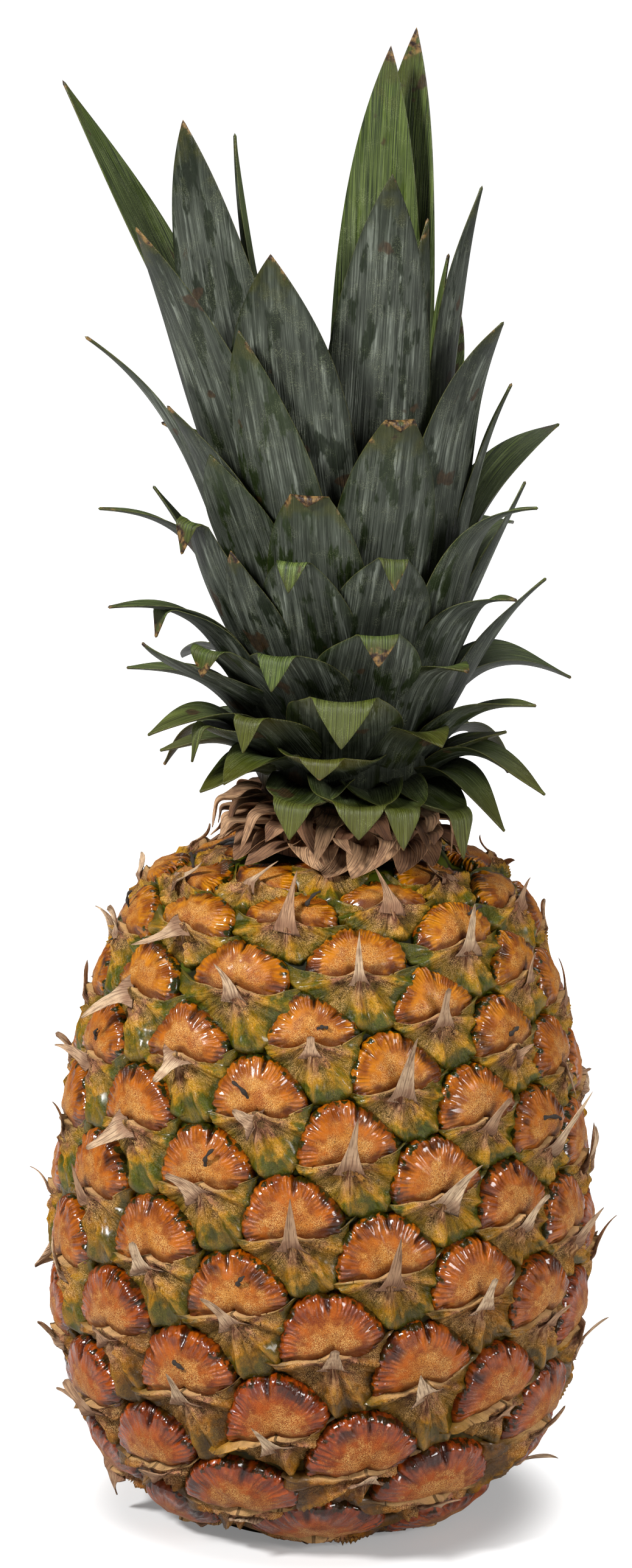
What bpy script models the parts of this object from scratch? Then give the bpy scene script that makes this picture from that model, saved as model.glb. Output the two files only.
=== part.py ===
"""A whole pineapple standing on its base: fruit, cut stalk, dry collar and leafy crown. Metres, +Z up."""

import bpy
import bmesh
import cmath
import math
import random
from mathutils import Matrix, Vector
from mathutils.geometry import delaunay_2d_cdt
import numpy as np

# Fruit: outline of the body over the tops of the eyes, as (radius, height) from the base to the neck
OUTLINE = (
    (0.0290, 0.0000),
    (0.0372, 0.0032),
    (0.0465, 0.0100),
    (0.0556, 0.0220),
    (0.0615, 0.0400),
    (0.0641, 0.0650),
    (0.0622, 0.0900),
    (0.0585, 0.1150),
    (0.0524, 0.1350),
    (0.0466, 0.1480),
    (0.0390, 0.1552),
    (0.0262, 0.1582),
)
BODY_LEAN = 0.0215
RELIEF = 0.0042
END_FADE = 0.003
LOWEST_POINT = 0.0008
BARE_RADIUS = 0.034
BARE_FADE = 0.012
FLOOR_FADE = 0.012

# Eyes: one every golden angle, wound down from the neck
EYE_TURN = math.radians(137.567)
EYE_ZERO_ANGLE = math.radians(2.5)
EYE_ZERO_HEIGHT = 0.055
EYE_AREA_MIDDLE = 524.6e-6
EYE_AREA_TAPER = 0.537
EYE_NOMINAL_AREA = 520e-6
ROW_TILT = 0.177
ROW_TILT_MIDDLE = -0.058
CELL_ABOVE_FOOT = 0.0025
CORNER_ROUNDING = 0.5
LONG_BORDER = 0.013

# One eye, seen from outside: (direction from the cell's centre, share of the way to its border, height)
DOME_RIM = (
    (14, 0.83, 2.9),
    (38, 0.86, 3.3),
    (63, 0.85, 3.4),
    (90, 0.82, 3.2),
    (117, 0.85, 3.4),
    (142, 0.86, 3.3),
    (166, 0.83, 2.9),
)
DOME_CREST = ((34, 0.52, 4.5), (90, 0.46, 4.6), (146, 0.52, 4.5))
BRACT_HEM = ((-136, 0.90, 2.5), (-112, 0.76, 1.3), (-88, 0.90, 2.8), (-66, 0.76, 1.3), (-42, 0.90, 2.5))
WING_SHARE, WING_RAISED = 0.93, 2.5

# Around the foot of an eye's point, in millimetres: across, up, height
CREASE = ((-8.2, 1.5, 2.5), (-3.9, 1.2, 2.8), (3.9, 1.2, 2.8), (8.2, 1.8, 2.5))
LIP = ((-8.6, -0.2, 3.6), (-4.6, -0.3, 4.1), (4.6, -0.3, 4.1), (8.6, 0.3, 3.6))
FOOT = ((-2.3, 0.9, 4.5), (0.0, -2.4, 4.7), (2.3, 0.9, 4.5))
FOLD = ((-4.8, -4.6, 3.8), (0.0, -6.2, 3.9), (4.8, -4.6, 3.8))
MM = 0.001

# Base of the body, and the stalk in its hollow
BASE_SIDES = 28
BASE_RINGS = ((0.0262, 0.0), (0.0215, 0.0025), (0.0143, 0.0040), (0.0143, 0.0140))
STALK_RADIUS = 0.0140
STALK_HEIGHT = 0.0137
STALK_EDGE = 0.0012

# Crown: its frame stands on the neck and leans a little to the right
CROWN_FOOT = (0.0060, 0.0, 0.1590)
CROWN_LEAN = math.radians(2.7)
STEM = (
    (0.0185, 0.0130),
    (0.0225, 0.0200),
    (0.0230, 0.0320),
    (0.0195, 0.0520),
    (0.0130, 0.0720),
    (0.0060, 0.0880),
)
STEM_SIDES = 12
LEAF_THICKNESS = 0.0020
LONG_LEAF = 0.075
LONG_STEPS, SHORT_STEPS = 5, 4
LEAF_ROOT = 0.0030
FOLD_TURN = math.radians(105)
FOLD_REACH = 0.0018
FOLD_HANG = math.radians(165)
BACK_LEAVES = 36
BACK_FROM = math.radians(98)
LEAF_TURN = math.radians(-137.5)

# Leaves seen from the front and sides, in degrees and millimetres: azimuth, height of the foot, reach and
# height of the tip, lean at the foot and at the tip, width, turn of the broad side, and for a leaf with a
# folded-over tip the length of the fold and its width as a share of the leaf's
FRONT_LEAVES = (
    (-113, 52.0, 78.4, 170.3, 20, 34, 23, 0, 0, 0),
    (-88, 50.0, 43.5, 165.8, 14, 10, 30, 50, 0, 0),
    (-65, 44.0, 57.9, 143.9, 18, 32, 28, 15, 0, 0),
    (-35, 48.0, 39.0, 140.3, 12, 8, 32, 15, 0, 0),
    (-43, 43.0, 42.0, 122.8, 14, 16, 27, 0, 0, 0),
    (9, 54.0, 24.0, 158.3, 6, 4, 26, 0, 0, 0),
    (152, 58.0, 17.7, 187.5, 4, 5, 22, 0, 0, 0),
    (165, 58.0, 10.0, 183.6, 2, 4, 22, 0, 0, 0),
    (60, 56.0, 14.4, 146.9, 4, 4, 16, 0, 0, 0),
    (80, 52.0, 24.8, 154.5, 6, 14, 15, -15, 0, 0),
    (103, 52.0, 18.4, 137.8, 5, 8, 12, 0, 0, 0),
    (60, 44.0, 35.1, 125.8, 14, 34, 23, -10, 0, 0),
    (85, 40.0, 33.7, 109.9, 14, 24, 15, 0, 0, 0),
    (-76, 40.0, 65.1, 117.8, 24, 58, 18, 0, 0, 0),
    (-60, 38.0, 50.7, 104.5, 20, 44, 24, 10, 0, 0),
    (-55, 38.0, 41.4, 93.7, 15, 24, 24, 15, 0, 0),
    (14, 42.0, 33.0, 104.1, 12, 12, 25, 0, 0, 0),
    (-18, 37.0, 37.0, 86.9, 18, 12, 26, 0, 0, 0),
    (-20, 31.0, 41.0, 71.9, 20, 30, 25, 0, 8, 0.35),
    (11, 32.0, 41.0, 73.9, 18, 30, 26, 0, 8, 0.30),
    (7, 26.0, 44.0, 57.3, 24, 40, 26, 0, 8, 0.40),
    (-22, 24.0, 44.0, 51.2, 25, 60, 26, 0, 9, 0.40),
    (-2, 20.0, 45.0, 42.2, 28, 50, 27, 0, 12, 0.60),
    (37, 23.0, 43.6, 49.0, 32, 95, 24, 0, 0, 0),
    (-34, 18.5, 38.6, 35.1, 36, 62, 23, 0, 9, 0.40),
    (32, 18.0, 40.1, 31.4, 38, 110, 23, 0, 0, 0),
    (-8, 16.5, 42.0, 28.4, 40, 60, 25, 0, 5, 0.45),
    (-44, 16.5, 39.8, 19.3, 42, 120, 18, 0, 0, 0),
    (-19, 14.5, 34.0, 16.1, 55, 80, 20, 0, 9, 0.55),
    (5, 14.5, 36.0, 16.8, 55, 80, 22, 0, 8, 0.60),
    (20, 14.5, 36.0, 16.2, 55, 85, 20, 0, 10, 0.50),
    (42, 14.5, 36.6, 15.0, 55, 85, 18, 0, 12, 0.50),
    (-72, 32.0, 61.6, 79.4, 26, 88, 17, 0, 0, 0),
    (-66, 28.0, 60.6, 58.0, 30, 95, 17, 0, 0, 0),
    (-80, 23.0, 51.8, 41.2, 36, 92, 17, 0, 0, 0),
    (-54, 26.0, 58.3, 52.2, 32, 48, 20, 0, 0, 0),
    (-60, 20.0, 52.2, 29.3, 40, 112, 17, 0, 0, 0),
    (-55, 20.0, 38.9, 31.0, 36, 60, 18, 0, 10, 0.30),
    (-80, 17.0, 43.3, 21.9, 42, 105, 16, 0, 0, 0),
    (-60, 15.5, 38.1, 15.2, 46, 112, 17, 0, 0, 0),
    (-58, 31.0, 43.1, 77.0, 24, 20, 22, 0, 9, 0.50),
    (-42, 30.0, 42.2, 73.4, 22, 20, 17, 0, 0, 0),
    (-66, 26.0, 45.6, 57.0, 34, 70, 18, 0, 8, 0.50),
    (-46, 24.0, 43.9, 49.9, 34, 60, 20, 0, 7, 0.60),
    (-95, 34.0, 47.1, 81.3, 24, 40, 16, 0, 0, 0),
    (-120, 42.0, 48.5, 105.5, 18, 20, 24, 30, 0, 0),
    (56, 33.0, 48.3, 85.5, 22, 82, 20, 0, 0, 0),
    (78, 38.0, 38.5, 88.4, 20, 22, 11, 0, 0, 0),
    (50, 28.0, 47.4, 65.0, 26, 88, 23, 0, 0, 0),
    (74, 26.0, 45.2, 67.1, 28, 48, 16, 0, 0, 0),
    (58, 21.0, 49.7, 40.3, 36, 86, 19, 0, 0, 0),
    (82, 18.0, 37.1, 29.6, 42, 70, 14, 0, 0, 0),
    (68, 17.0, 49.3, 18.0, 44, 122, 16, 0, 0, 0),
    (60, 15.0, 42.5, 9.7, 46, 135, 15, 0, 0, 0),
)
UPRIGHT_LEAN = 40
UPRIGHT_TAPER, BENT_TAPER = 4.6, 2.7

# Dry collar under the crown
COLLAR_RADIUS = 0.0195
COLLAR_FROM = 0.0003
COLLAR_TO = 0.0126
COLLAR_BRACTS = 18
COLLAR_THICKNESS = 0.0014
SEED = 11

# Colours of the real thing
SKIN = (0.52, 0.22, 0.03)
LEAF_GREEN = (0.10, 0.16, 0.08)
PAPER = (0.36, 0.24, 0.14)
WOOD = (0.55, 0.45, 0.28)


def clear_scene():
    for obj in list(bpy.data.objects):
        bpy.data.objects.remove(obj, do_unlink=True)


def material(name, colour, roughness):
    made = bpy.data.materials.new(name)
    made.use_nodes = True
    shader = made.node_tree.nodes["Principled BSDF"]
    shader.inputs["Base Color"].default_value = (*colour, 1.0)
    shader.inputs["Roughness"].default_value = roughness
    shader.inputs["Metallic"].default_value = 0.0
    return made


def object_from(name, points, faces):
    mesh = bpy.data.meshes.new(name)
    mesh.from_pydata([tuple(point) for point in points], [], faces)
    obj = bpy.data.objects.new(name, mesh)
    bpy.context.scene.collection.objects.link(obj)
    return obj


def face_outwards(mesh):
    shape = bmesh.new()
    shape.from_mesh(mesh)
    bmesh.ops.recalc_face_normals(shape, faces=shape.faces)
    if shape.calc_volume(signed=True) < 0:
        bmesh.ops.reverse_faces(shape, faces=shape.faces)
    shape.to_mesh(mesh)
    shape.free()


def spline_through(knots, steps):
    """Points of a smooth curve through the knots (Catmull-Rom)."""
    ends = [2 * np.array(knots[0]) - np.array(knots[1])], [2 * np.array(knots[-1]) - np.array(knots[-2])]
    row = np.concatenate([ends[0], np.array(knots), ends[1]])
    points = []
    for before, start, end, after in zip(row, row[1:], row[2:], row[3:]):
        for step in range(steps):
            t = step / steps
            bend = 2 * before - 5 * start + 4 * end - after
            twist = 3 * (start - end) + after - before
            points.append(0.5 * (2 * start + (end - before) * t + bend * t * t + twist * t**3))
    points.append(row[-2])
    return np.array(points)


class Skin:
    """The outline turned about its axis, with arc length, an unrolled scale and a count of eyes along it."""

    def __init__(self):
        curve = spline_through(OUTLINE, 24)
        self.radius, self.height = curve[:, 0], curve[:, 1]
        step = np.hypot(np.diff(self.radius), np.diff(self.height))
        self.along = np.concatenate([[0], np.cumsum(step)])
        self.length = self.along[-1]
        slope_r = np.gradient(self.radius, self.along)
        slope_z = np.gradient(self.height, self.along)
        size = np.hypot(slope_r, slope_z)
        self.out_r, self.out_z = slope_z / size, -slope_r / size
        middle = 0.5 * (self.radius[1:] + self.radius[:-1])
        self.unrolled = np.concatenate([[0], np.cumsum(step / middle)])
        area = self.eye_area(0.5 * (self.height[1:] + self.height[:-1]))
        self.count = np.concatenate([[0], np.cumsum(2 * math.pi * middle * step / area)])

    def eye_area(self, height):
        return EYE_AREA_MIDDLE * (1 - EYE_AREA_TAPER * (height / self.height[-1] - 0.5))

    def at(self, values, along):
        return float(np.interp(along, self.along, values))

    def beyond(self, values, along):
        """A value at an arc length that may lie past either end, carried on evenly."""
        inside = min(max(along, 0.0), self.length)
        end = 1 if inside > self.length / 2 else 0
        slope = (values[1] - values[0]) / self.along[1] if end == 0 else (
            (values[-1] - values[-2]) / (self.along[-1] - self.along[-2])
        )
        return self.at(values, inside) + slope * (along - inside)

    def along_of_count(self, count):
        inside = min(max(count, 0.0), self.count[-1])
        edge = 0 if inside < self.count[-1] / 2 else -1
        rate = self.eye_area(self.height[edge]) / (2 * math.pi * self.radius[edge])
        return float(np.interp(inside, self.count, self.along)) + rate * (count - inside)

    def place(self, angle, along, raised):
        """A point above or below the outline: raised is counted from the bottom of the grooves."""
        fade = min(1.0, max(0.0, min(along, self.length - along)) / END_FADE)
        lift = (raised - RELIEF) * fade
        radius = self.at(self.radius, along) + self.at(self.out_r, along) * lift
        height = max(0.0, self.at(self.height, along) + self.at(self.out_z, along) * lift)
        return Vector((BODY_LEAN * height + radius * math.sin(angle), -radius * math.cos(angle), height))

    def plane(self, angle, along):
        """Where a point of the skin lies when the skin is laid flat as a ring, keeping all angles."""
        return cmath.rect(math.exp(-self.beyond(self.unrolled, along)), angle)


def turn_between(first, second):
    return (second - first + math.pi) % (2 * math.pi) - math.pi


class Eye:
    def __init__(self, skin, index, count):
        self.index = index
        self.angle = (EYE_ZERO_ANGLE + EYE_TURN * index) % (2 * math.pi)
        along = skin.along_of_count(count)
        height = skin.at(skin.height, along)
        middle = 2 * height / skin.height[-1] - 1
        radius = skin.at(skin.radius, along)
        self.foot = along - radius * math.sin(self.angle) * (ROW_TILT * middle + ROW_TILT_MIDDLE)
        self.radius = skin.at(skin.radius, self.foot)
        self.scale = math.sqrt(skin.eye_area(skin.at(skin.height, self.foot)) / EYE_NOMINAL_AREA)
        self.centre = self.foot + CELL_ABOVE_FOOT * self.scale
        self.corners = []

    def local(self, angle, along):
        return self.radius * turn_between(self.angle, angle), along - self.centre

    def edge_at(self, direction):
        """Distance from the cell's centre to its border in this direction."""
        dx, dy = math.cos(direction), math.sin(direction)
        outline = sorted(self.corners, key=lambda corner: math.atan2(corner[1], corner[0]))
        best = 0.013
        for (ax, ay), (bx, by) in zip(outline, outline[1:] + outline[:1]):
            across = dx * (by - ay) - dy * (bx - ax)
            if abs(across) < 1e-12:
                continue
            far = (ax * (by - ay) - ay * (bx - ax)) / across
            share = (ax * dy - ay * dx) / across
            if far > 0 and -1e-9 <= share <= 1 + 1e-9:
                best = far
        return best


def wound_eyes(skin):
    """The eyes in their spiral, with a few more past both ends so that every real one has neighbours."""
    zero = float(np.interp(EYE_ZERO_HEIGHT, skin.height, skin.count))
    lowest = int(zero) + 14
    highest = int(zero - skin.count[-1]) - 14
    return [Eye(skin, index, zero - index) for index in range(highest, lowest)]


def middle_of_three(eyes):
    """Where three eyes meet: between the point that is equally far from all and their centroid."""
    first = eyes[0]
    spots = [first.local(eye.angle, eye.centre) for eye in eyes]
    (ax, ay), (bx, by), (cx, cy) = spots
    twice = 2 * (ax * (by - cy) + bx * (cy - ay) + cx * (ay - by))
    centroid = (ax + bx + cx) / 3, (ay + by + cy) / 3
    a2, b2, c2 = ax * ax + ay * ay, bx * bx + by * by, cx * cx + cy * cy
    even = (
        (a2 * (by - cy) + b2 * (cy - ay) + c2 * (ay - by)) / twice,
        (a2 * (cx - bx) + b2 * (ax - cx) + c2 * (bx - ax)) / twice,
    )
    x = centroid[0] + CORNER_ROUNDING * (even[0] - centroid[0])
    y = centroid[1] + CORNER_ROUNDING * (even[1] - centroid[1])
    return first.angle + x / first.radius, first.centre + y


class Net:
    """Points of the skin with their heights, and the lines that the triangles have to follow."""

    def __init__(self, skin):
        self.skin = skin
        self.spots = []
        self.lines = []

    def add(self, angle, along, raised, margin=0.0012):
        if not margin < along < self.skin.length - margin:
            return None
        self.spots.append((angle, along, raised))
        return len(self.spots) - 1

    def line(self, row, closed=False):
        ends = row[1:] + row[:1] if closed else row[1:]
        self.lines += [(a, b) for a, b in zip(row, ends) if a is not None and b is not None]


def groove_lines(net, eyes):
    """The cells' shared borders: a point where three eyes meet, and one half way along each long border."""
    flat = [net.skin.plane(eye.angle, eye.centre) for eye in eyes]
    result = delaunay_2d_cdt([Vector((w.real, w.imag)) for w in flat], [], [], 0, 1e-9)
    borders = {}
    for face in result[2]:
        three = [eyes[result[3][vertex][0]] for vertex in face]
        angle, along = middle_of_three(three)
        spot = net.add(angle, along, 0.0)
        for eye in three:
            eye.corners.append(eye.local(angle, along))
        for first, second in zip(three, three[1:] + three[:1]):
            pair = tuple(sorted((first.index, second.index)))
            borders.setdefault(pair, []).append((angle, along, spot))
    for ends in borders.values():
        if len(ends) < 2:
            continue
        (angle_a, along_a, a), (angle_b, along_b, b) = ends
        turn = turn_between(angle_a, angle_b)
        middle = 0.5 * (along_a + along_b)
        width = math.hypot(turn * net.skin.at(net.skin.radius, middle), along_b - along_a)
        if width > LONG_BORDER and a is not None and b is not None:
            half = net.add(angle_a + turn / 2, middle, 0.0)
            net.line([a, half, b])
        else:
            net.line([a, b])


def add_eye(net, eye):
    """One eye: a pillow over a crease, and under it the bract with lip, wings, folds and the point's foot."""

    def around(direction, share, raised):
        turn = math.radians(direction)
        far = share * eye.edge_at(turn)
        across, up = far * math.cos(turn), far * math.sin(turn)
        return net.add(eye.angle + across / eye.radius, eye.centre + up, raised * MM * eye.scale)

    def beside(across, up, raised):
        size = MM * eye.scale
        return net.add(eye.angle + across * size / eye.radius, eye.foot + up * size, raised * size)

    wings = []
    for side in (-1, 1):
        tip = max(eye.corners, key=lambda corner: side * corner[0])
        wings.append(around(math.degrees(math.atan2(tip[1], tip[0])), WING_SHARE, WING_RAISED))
    rim = [around(*spot) for spot in DOME_RIM]
    hem = [around(*spot) for spot in BRACT_HEM]
    crest = [around(*spot) for spot in DOME_CREST]
    crease = [beside(*spot) for spot in CREASE]
    lip = [beside(*spot) for spot in LIP]
    foot = [beside(*spot) for spot in FOOT]
    for spot in FOLD:
        beside(*spot)
    net.line([wings[1]] + rim + [wings[0]])
    net.line([wings[0]] + hem + [wings[1]])
    net.line(crest)
    net.line([crease[0], crease[1]])
    net.line([crease[2], crease[3]])
    net.line([wings[0], lip[0], lip[1], foot[0]])
    net.line([foot[2], lip[2], lip[3], wings[1]])
    net.line(foot, closed=True)
    return None if None in foot else tuple(foot)


def point_shape(eye, skin, draw):
    """How the dry point of a bract stands: its length and its direction across, up and outwards."""
    length = (0.0070 + 0.0045 * draw.random()) * eye.scale
    if draw.random() < 0.2:
        length *= 0.55
    crowded = min(1.0, max(0.0, (eye.radius - BARE_RADIUS) / BARE_FADE))
    near_floor = min(1.0, max(0.0, skin.at(skin.height, eye.foot) / FLOOR_FADE))
    length *= (0.35 + 0.65 * crowded) * (0.30 + 0.70 * near_floor)
    lean = math.radians(draw.uniform(-24, 24))
    out = math.radians(draw.uniform(28, 58))
    return length, math.cos(out) * math.sin(lean), math.cos(out) * math.cos(lean), math.sin(out)


def fruit(skin):
    """The body: eyes as relief with their dry points, a flat ring to stand on and a hollow for the stalk."""
    draw = random.Random(SEED)
    eyes = wound_eyes(skin)
    net = Net(skin)
    groove_lines(net, eyes)
    feet = {}
    for eye in eyes:
        if not 0.002 < eye.foot < skin.length - 0.004:
            continue
        shape = point_shape(eye, skin, draw)
        foot = add_eye(net, eye)
        if foot:
            feet[tuple(sorted(foot))] = (eye, shape)
    rims = []
    for along in (0.0, skin.length):
        start = len(net.spots)
        for side in range(BASE_SIDES):
            net.spots.append((2 * math.pi * side / BASE_SIDES, along, RELIEF))
        rims.append(list(range(start, len(net.spots))))
        net.line(rims[-1], closed=True)

    flat = [skin.plane(angle, along) for angle, along, _ in net.spots]
    spots, _, faces, origin, _, _ = delaunay_2d_cdt(
        [Vector((w.real, w.imag)) for w in flat], net.lines, [], 0, 1e-9
    )
    points, row = [], {}
    for number, (spot, source) in enumerate(zip(spots, origin)):
        if source:
            points.append(skin.place(*net.spots[source[0]]))
            row.update({index: number for index in source})
        else:
            along = float(np.interp(-math.log(spot.length), skin.unrolled, skin.along))
            points.append(skin.place(math.atan2(spot.y, spot.x), along, RELIEF / 3))
    feet = {tuple(sorted(row[index] for index in foot)): value for foot, value in feet.items()}
    kept = []
    for face in faces:
        if tuple(sorted(face)) in feet:
            kept += bract_point(points, face, *feet[tuple(sorted(face))])
        else:
            kept.append(tuple(face))
    kept += base_faces(points, [row[index] for index in rims[0]])
    body = object_from("fruit", points, kept)
    face_outwards(body.data)
    return body


def bract_point(points, face, eye, shape):
    """A three-sided tapering point that grows out of the foot, in place of the foot's own face."""
    length, across, up, out = shape
    centre = sum((points[index] for index in face), Vector()) / 3
    side = Vector((math.cos(eye.angle), math.sin(eye.angle), 0))
    normal = (points[face[1]] - points[face[0]]).cross(points[face[2]] - points[face[0]]).normalized()
    radial = Vector((math.sin(eye.angle), -math.cos(eye.angle), 0))
    if normal.dot(radial) < 0:
        normal = -normal
    rise = normal.cross(side)
    if rise.z < 0:
        rise = -rise
    bend = side * across + rise * up + normal * out
    middle = []
    for index in face:
        inset = centre + (points[index] - centre) * 0.50
        middle.append(len(points))
        points.append(inset + bend * length * 0.5)
    tip = len(points)
    points.append(centre + bend * length + rise * length * 0.08)
    for index in middle + [tip]:
        points[index].z = max(points[index].z, LOWEST_POINT)
    made = []
    for a, b, c, d in zip(face, list(face[1:]) + [face[0]], middle, middle[1:] + middle[:1]):
        made += [(a, b, d), (a, d, c), (c, d, tip)]
    return made


def base_faces(points, rim):
    """From the rim inwards: the flat ring, the dimple and the round hollow for the stalk."""
    made = []
    outer = rim
    for radius, height in BASE_RINGS:
        inner = list(range(len(points), len(points) + BASE_SIDES))
        for side in range(BASE_SIDES):
            turn = 2 * math.pi * side / BASE_SIDES
            points.append(Vector((radius * math.sin(turn), -radius * math.cos(turn), height)))
        for side in range(BASE_SIDES):
            after = (side + 1) % BASE_SIDES
            made.append((outer[side], inner[side], inner[after]))
            made.append((outer[side], inner[after], outer[after]))
        outer = inner
    made.append(tuple(outer))
    return made


def cut_stalk():
    """The woody stalk, cut off level with the base."""
    shape = bmesh.new()
    bmesh.ops.create_cone(
        shape, cap_ends=True, segments=24, radius1=STALK_RADIUS, radius2=STALK_RADIUS, depth=STALK_HEIGHT
    )
    bmesh.ops.translate(shape, verts=shape.verts, vec=(0, 0, STALK_HEIGHT / 2))
    rim = [edge for edge in shape.edges if all(vertex.co.z < 1e-6 for vertex in edge.verts)]
    bmesh.ops.bevel(shape, geom=rim, offset=STALK_EDGE, segments=2, affect="EDGES")
    mesh = bpy.data.meshes.new("cut_stalk")
    shape.to_mesh(mesh)
    shape.free()
    obj = bpy.data.objects.new("cut_stalk", mesh)
    bpy.context.scene.collection.objects.link(obj)
    return obj


def stem_radius(height):
    radii, heights = zip(*STEM)
    return float(np.interp(height, heights, radii))


def bend(start, end, lean, tip_lean, t):
    """A point of a leaf's middle line and its direction, in the leaf's upright plane (a cubic curve)."""
    size = (end - start).length
    fold = min(1.0, max(0.0, (tip_lean - math.radians(60)) / math.radians(100)))
    first = start + Vector((math.sin(lean), math.cos(lean))) * size * (0.42 + 0.18 * fold)
    last = end - Vector((math.sin(tip_lean), math.cos(tip_lean))) * size * (0.33 + 0.42 * fold)
    u = 1 - t
    spot = start * u**3 + first * 3 * u * u * t + last * 3 * u * t * t + end * t**3
    along = (first - start) * u * u + (last - first) * 2 * u * t + (end - last) * t * t
    return spot, along.normalized()


def blade(name, azimuth, foot, tip, lean, tip_lean, width, thickness, taper, **more):
    """A channelled leaf: it leaves the stem at its lean, bends over to its tip and tapers.

    A folded leaf goes on over the bend at its tip and hangs down in a narrow point.
    """
    swing, face, fold = more.get("swing", 0.0), more.get("face", 0.0), more.get("fold", 0.0)
    start, end = Vector(foot), Vector(tip)
    steps = more.get("steps", LONG_STEPS if (end - start).length > LONG_LEAF else SHORT_STEPS)
    narrow = more.get("narrow", 0.0)
    rings = []
    for step in range(steps + 1):
        t = step / steps
        spot, along = bend(start, end, lean, tip_lean, t)
        share = narrow + (1 - narrow) * (1 - t**taper)
        rings.append((t, spot, along, width / 2 * share * (0.50 + 0.50 * min(1.0, t / 0.35))))
    if fold:
        over = end + Vector((FOLD_REACH, FOLD_REACH * 0.2))
        rings.append((1.0, over, Vector((math.sin(FOLD_TURN), math.cos(FOLD_TURN))), rings[-1][3] * 0.9))
        hang = over + Vector((math.sin(FOLD_HANG), math.cos(FOLD_HANG))) * fold
        rings.append((1.0, hang, Vector((0, -1)), 0.0))
    points = []
    for t, spot, along, half in rings:
        turn = azimuth + swing * t * t
        out = Vector((math.sin(turn), -math.cos(turn), 0))
        side = Vector((math.cos(turn + face), math.sin(turn + face), 0))
        inward = (out * along.x + Vector((0, 0, along.y))).cross(side).normalized()
        centre = out * spot.x + Vector((0, 0, spot.y))
        cup = half * (0.50 - 0.38 * t)
        thick = thickness * (1 - 0.5 * t) / 2
        points += [
            centre - side * half + inward * cup,
            centre + inward * thick,
            centre + side * half + inward * cup,
            centre - inward * thick,
        ]
    points = points[:-4] + [centre]
    faces = [(0, 1, 2), (0, 2, 3)]
    for ring in range(len(rings) - 2):
        a, b = 4 * ring, 4 * ring + 4
        for left, right in ((0, 1), (2, 1), (0, 3), (2, 3)):
            faces += [(a + left, a + right, b + right), (a + left, b + right, b + left)]
    last, end = len(points) - 5, len(points) - 1
    for left in range(4):
        faces.append((last + left, last + (left + 1) % 4, end))
    obj = object_from(name, points, faces)
    face_outwards(obj.data)
    return obj


def turned(name, knots, sides):
    """A closed round body about the local axis, from (radius, height) knots."""
    points, faces = [], []
    for radius, height in knots:
        for side in range(sides):
            turn = 2 * math.pi * side / sides
            points.append(Vector((radius * math.cos(turn), radius * math.sin(turn), height)))
    for row in range(len(knots) - 1):
        for side in range(sides):
            after = (side + 1) % sides
            a, b = row * sides, (row + 1) * sides
            faces.append((a + side, a + after, b + after, b + side))
    faces.append(tuple(range(sides)))
    faces.append(tuple(range((len(knots) - 1) * sides, len(knots) * sides)))
    obj = object_from(name, points, faces)
    face_outwards(obj.data)
    return obj


def joined(core, pieces):
    """The core and all its pieces as one solid, without sealed gaps or loose scraps."""
    group = bpy.data.collections.new(core.name + "_pieces")
    bpy.context.scene.collection.children.link(group)
    for piece in pieces:
        bpy.context.scene.collection.objects.unlink(piece)
        group.objects.link(piece)
    union = core.modifiers.new("union", "BOOLEAN")
    union.operation = "UNION"
    union.operand_type = "COLLECTION"
    union.collection = group
    union.solver = "MANIFOLD"
    bpy.context.view_layer.update()
    evaluated = core.evaluated_get(bpy.context.evaluated_depsgraph_get())
    mesh = bpy.data.meshes.new_from_object(evaluated)
    core.modifiers.clear()
    core.data = mesh
    mesh.name = core.name
    for piece in pieces:
        bpy.data.objects.remove(piece, do_unlink=True)
    bpy.data.collections.remove(group)
    keep_largest_shell(mesh)


def keep_largest_shell(mesh):
    shape = bmesh.new()
    shape.from_mesh(mesh)
    bmesh.ops.triangulate(shape, faces=shape.faces)
    waiting, shells = set(shape.faces), []
    while waiting:
        shell, front = [], [waiting.pop()]
        while front:
            face = front.pop()
            shell.append(face)
            for edge in face.edges:
                if len(edge.link_faces) != 2:
                    continue
                for other in edge.link_faces:
                    if other in waiting:
                        waiting.remove(other)
                        front.append(other)
        shells.append(shell)
    shells.sort(key=shell_volume)
    for shell in shells[:-1]:
        bmesh.ops.delete(shape, geom=shell, context="FACES")
    loose = [vertex for vertex in shape.verts if not vertex.link_faces]
    bmesh.ops.delete(shape, geom=loose, context="VERTS")
    shape.to_mesh(mesh)
    shape.free()


def shell_volume(shell):
    total = 0.0
    for face in shell:
        a, b, c = (loop.vert.co for loop in face.loops)
        total += a.dot(b.cross(c)) / 6
    return total


def crown_place():
    return Matrix.Translation(CROWN_FOOT) @ Matrix.Rotation(CROWN_LEAN, 4, "Y")


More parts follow.
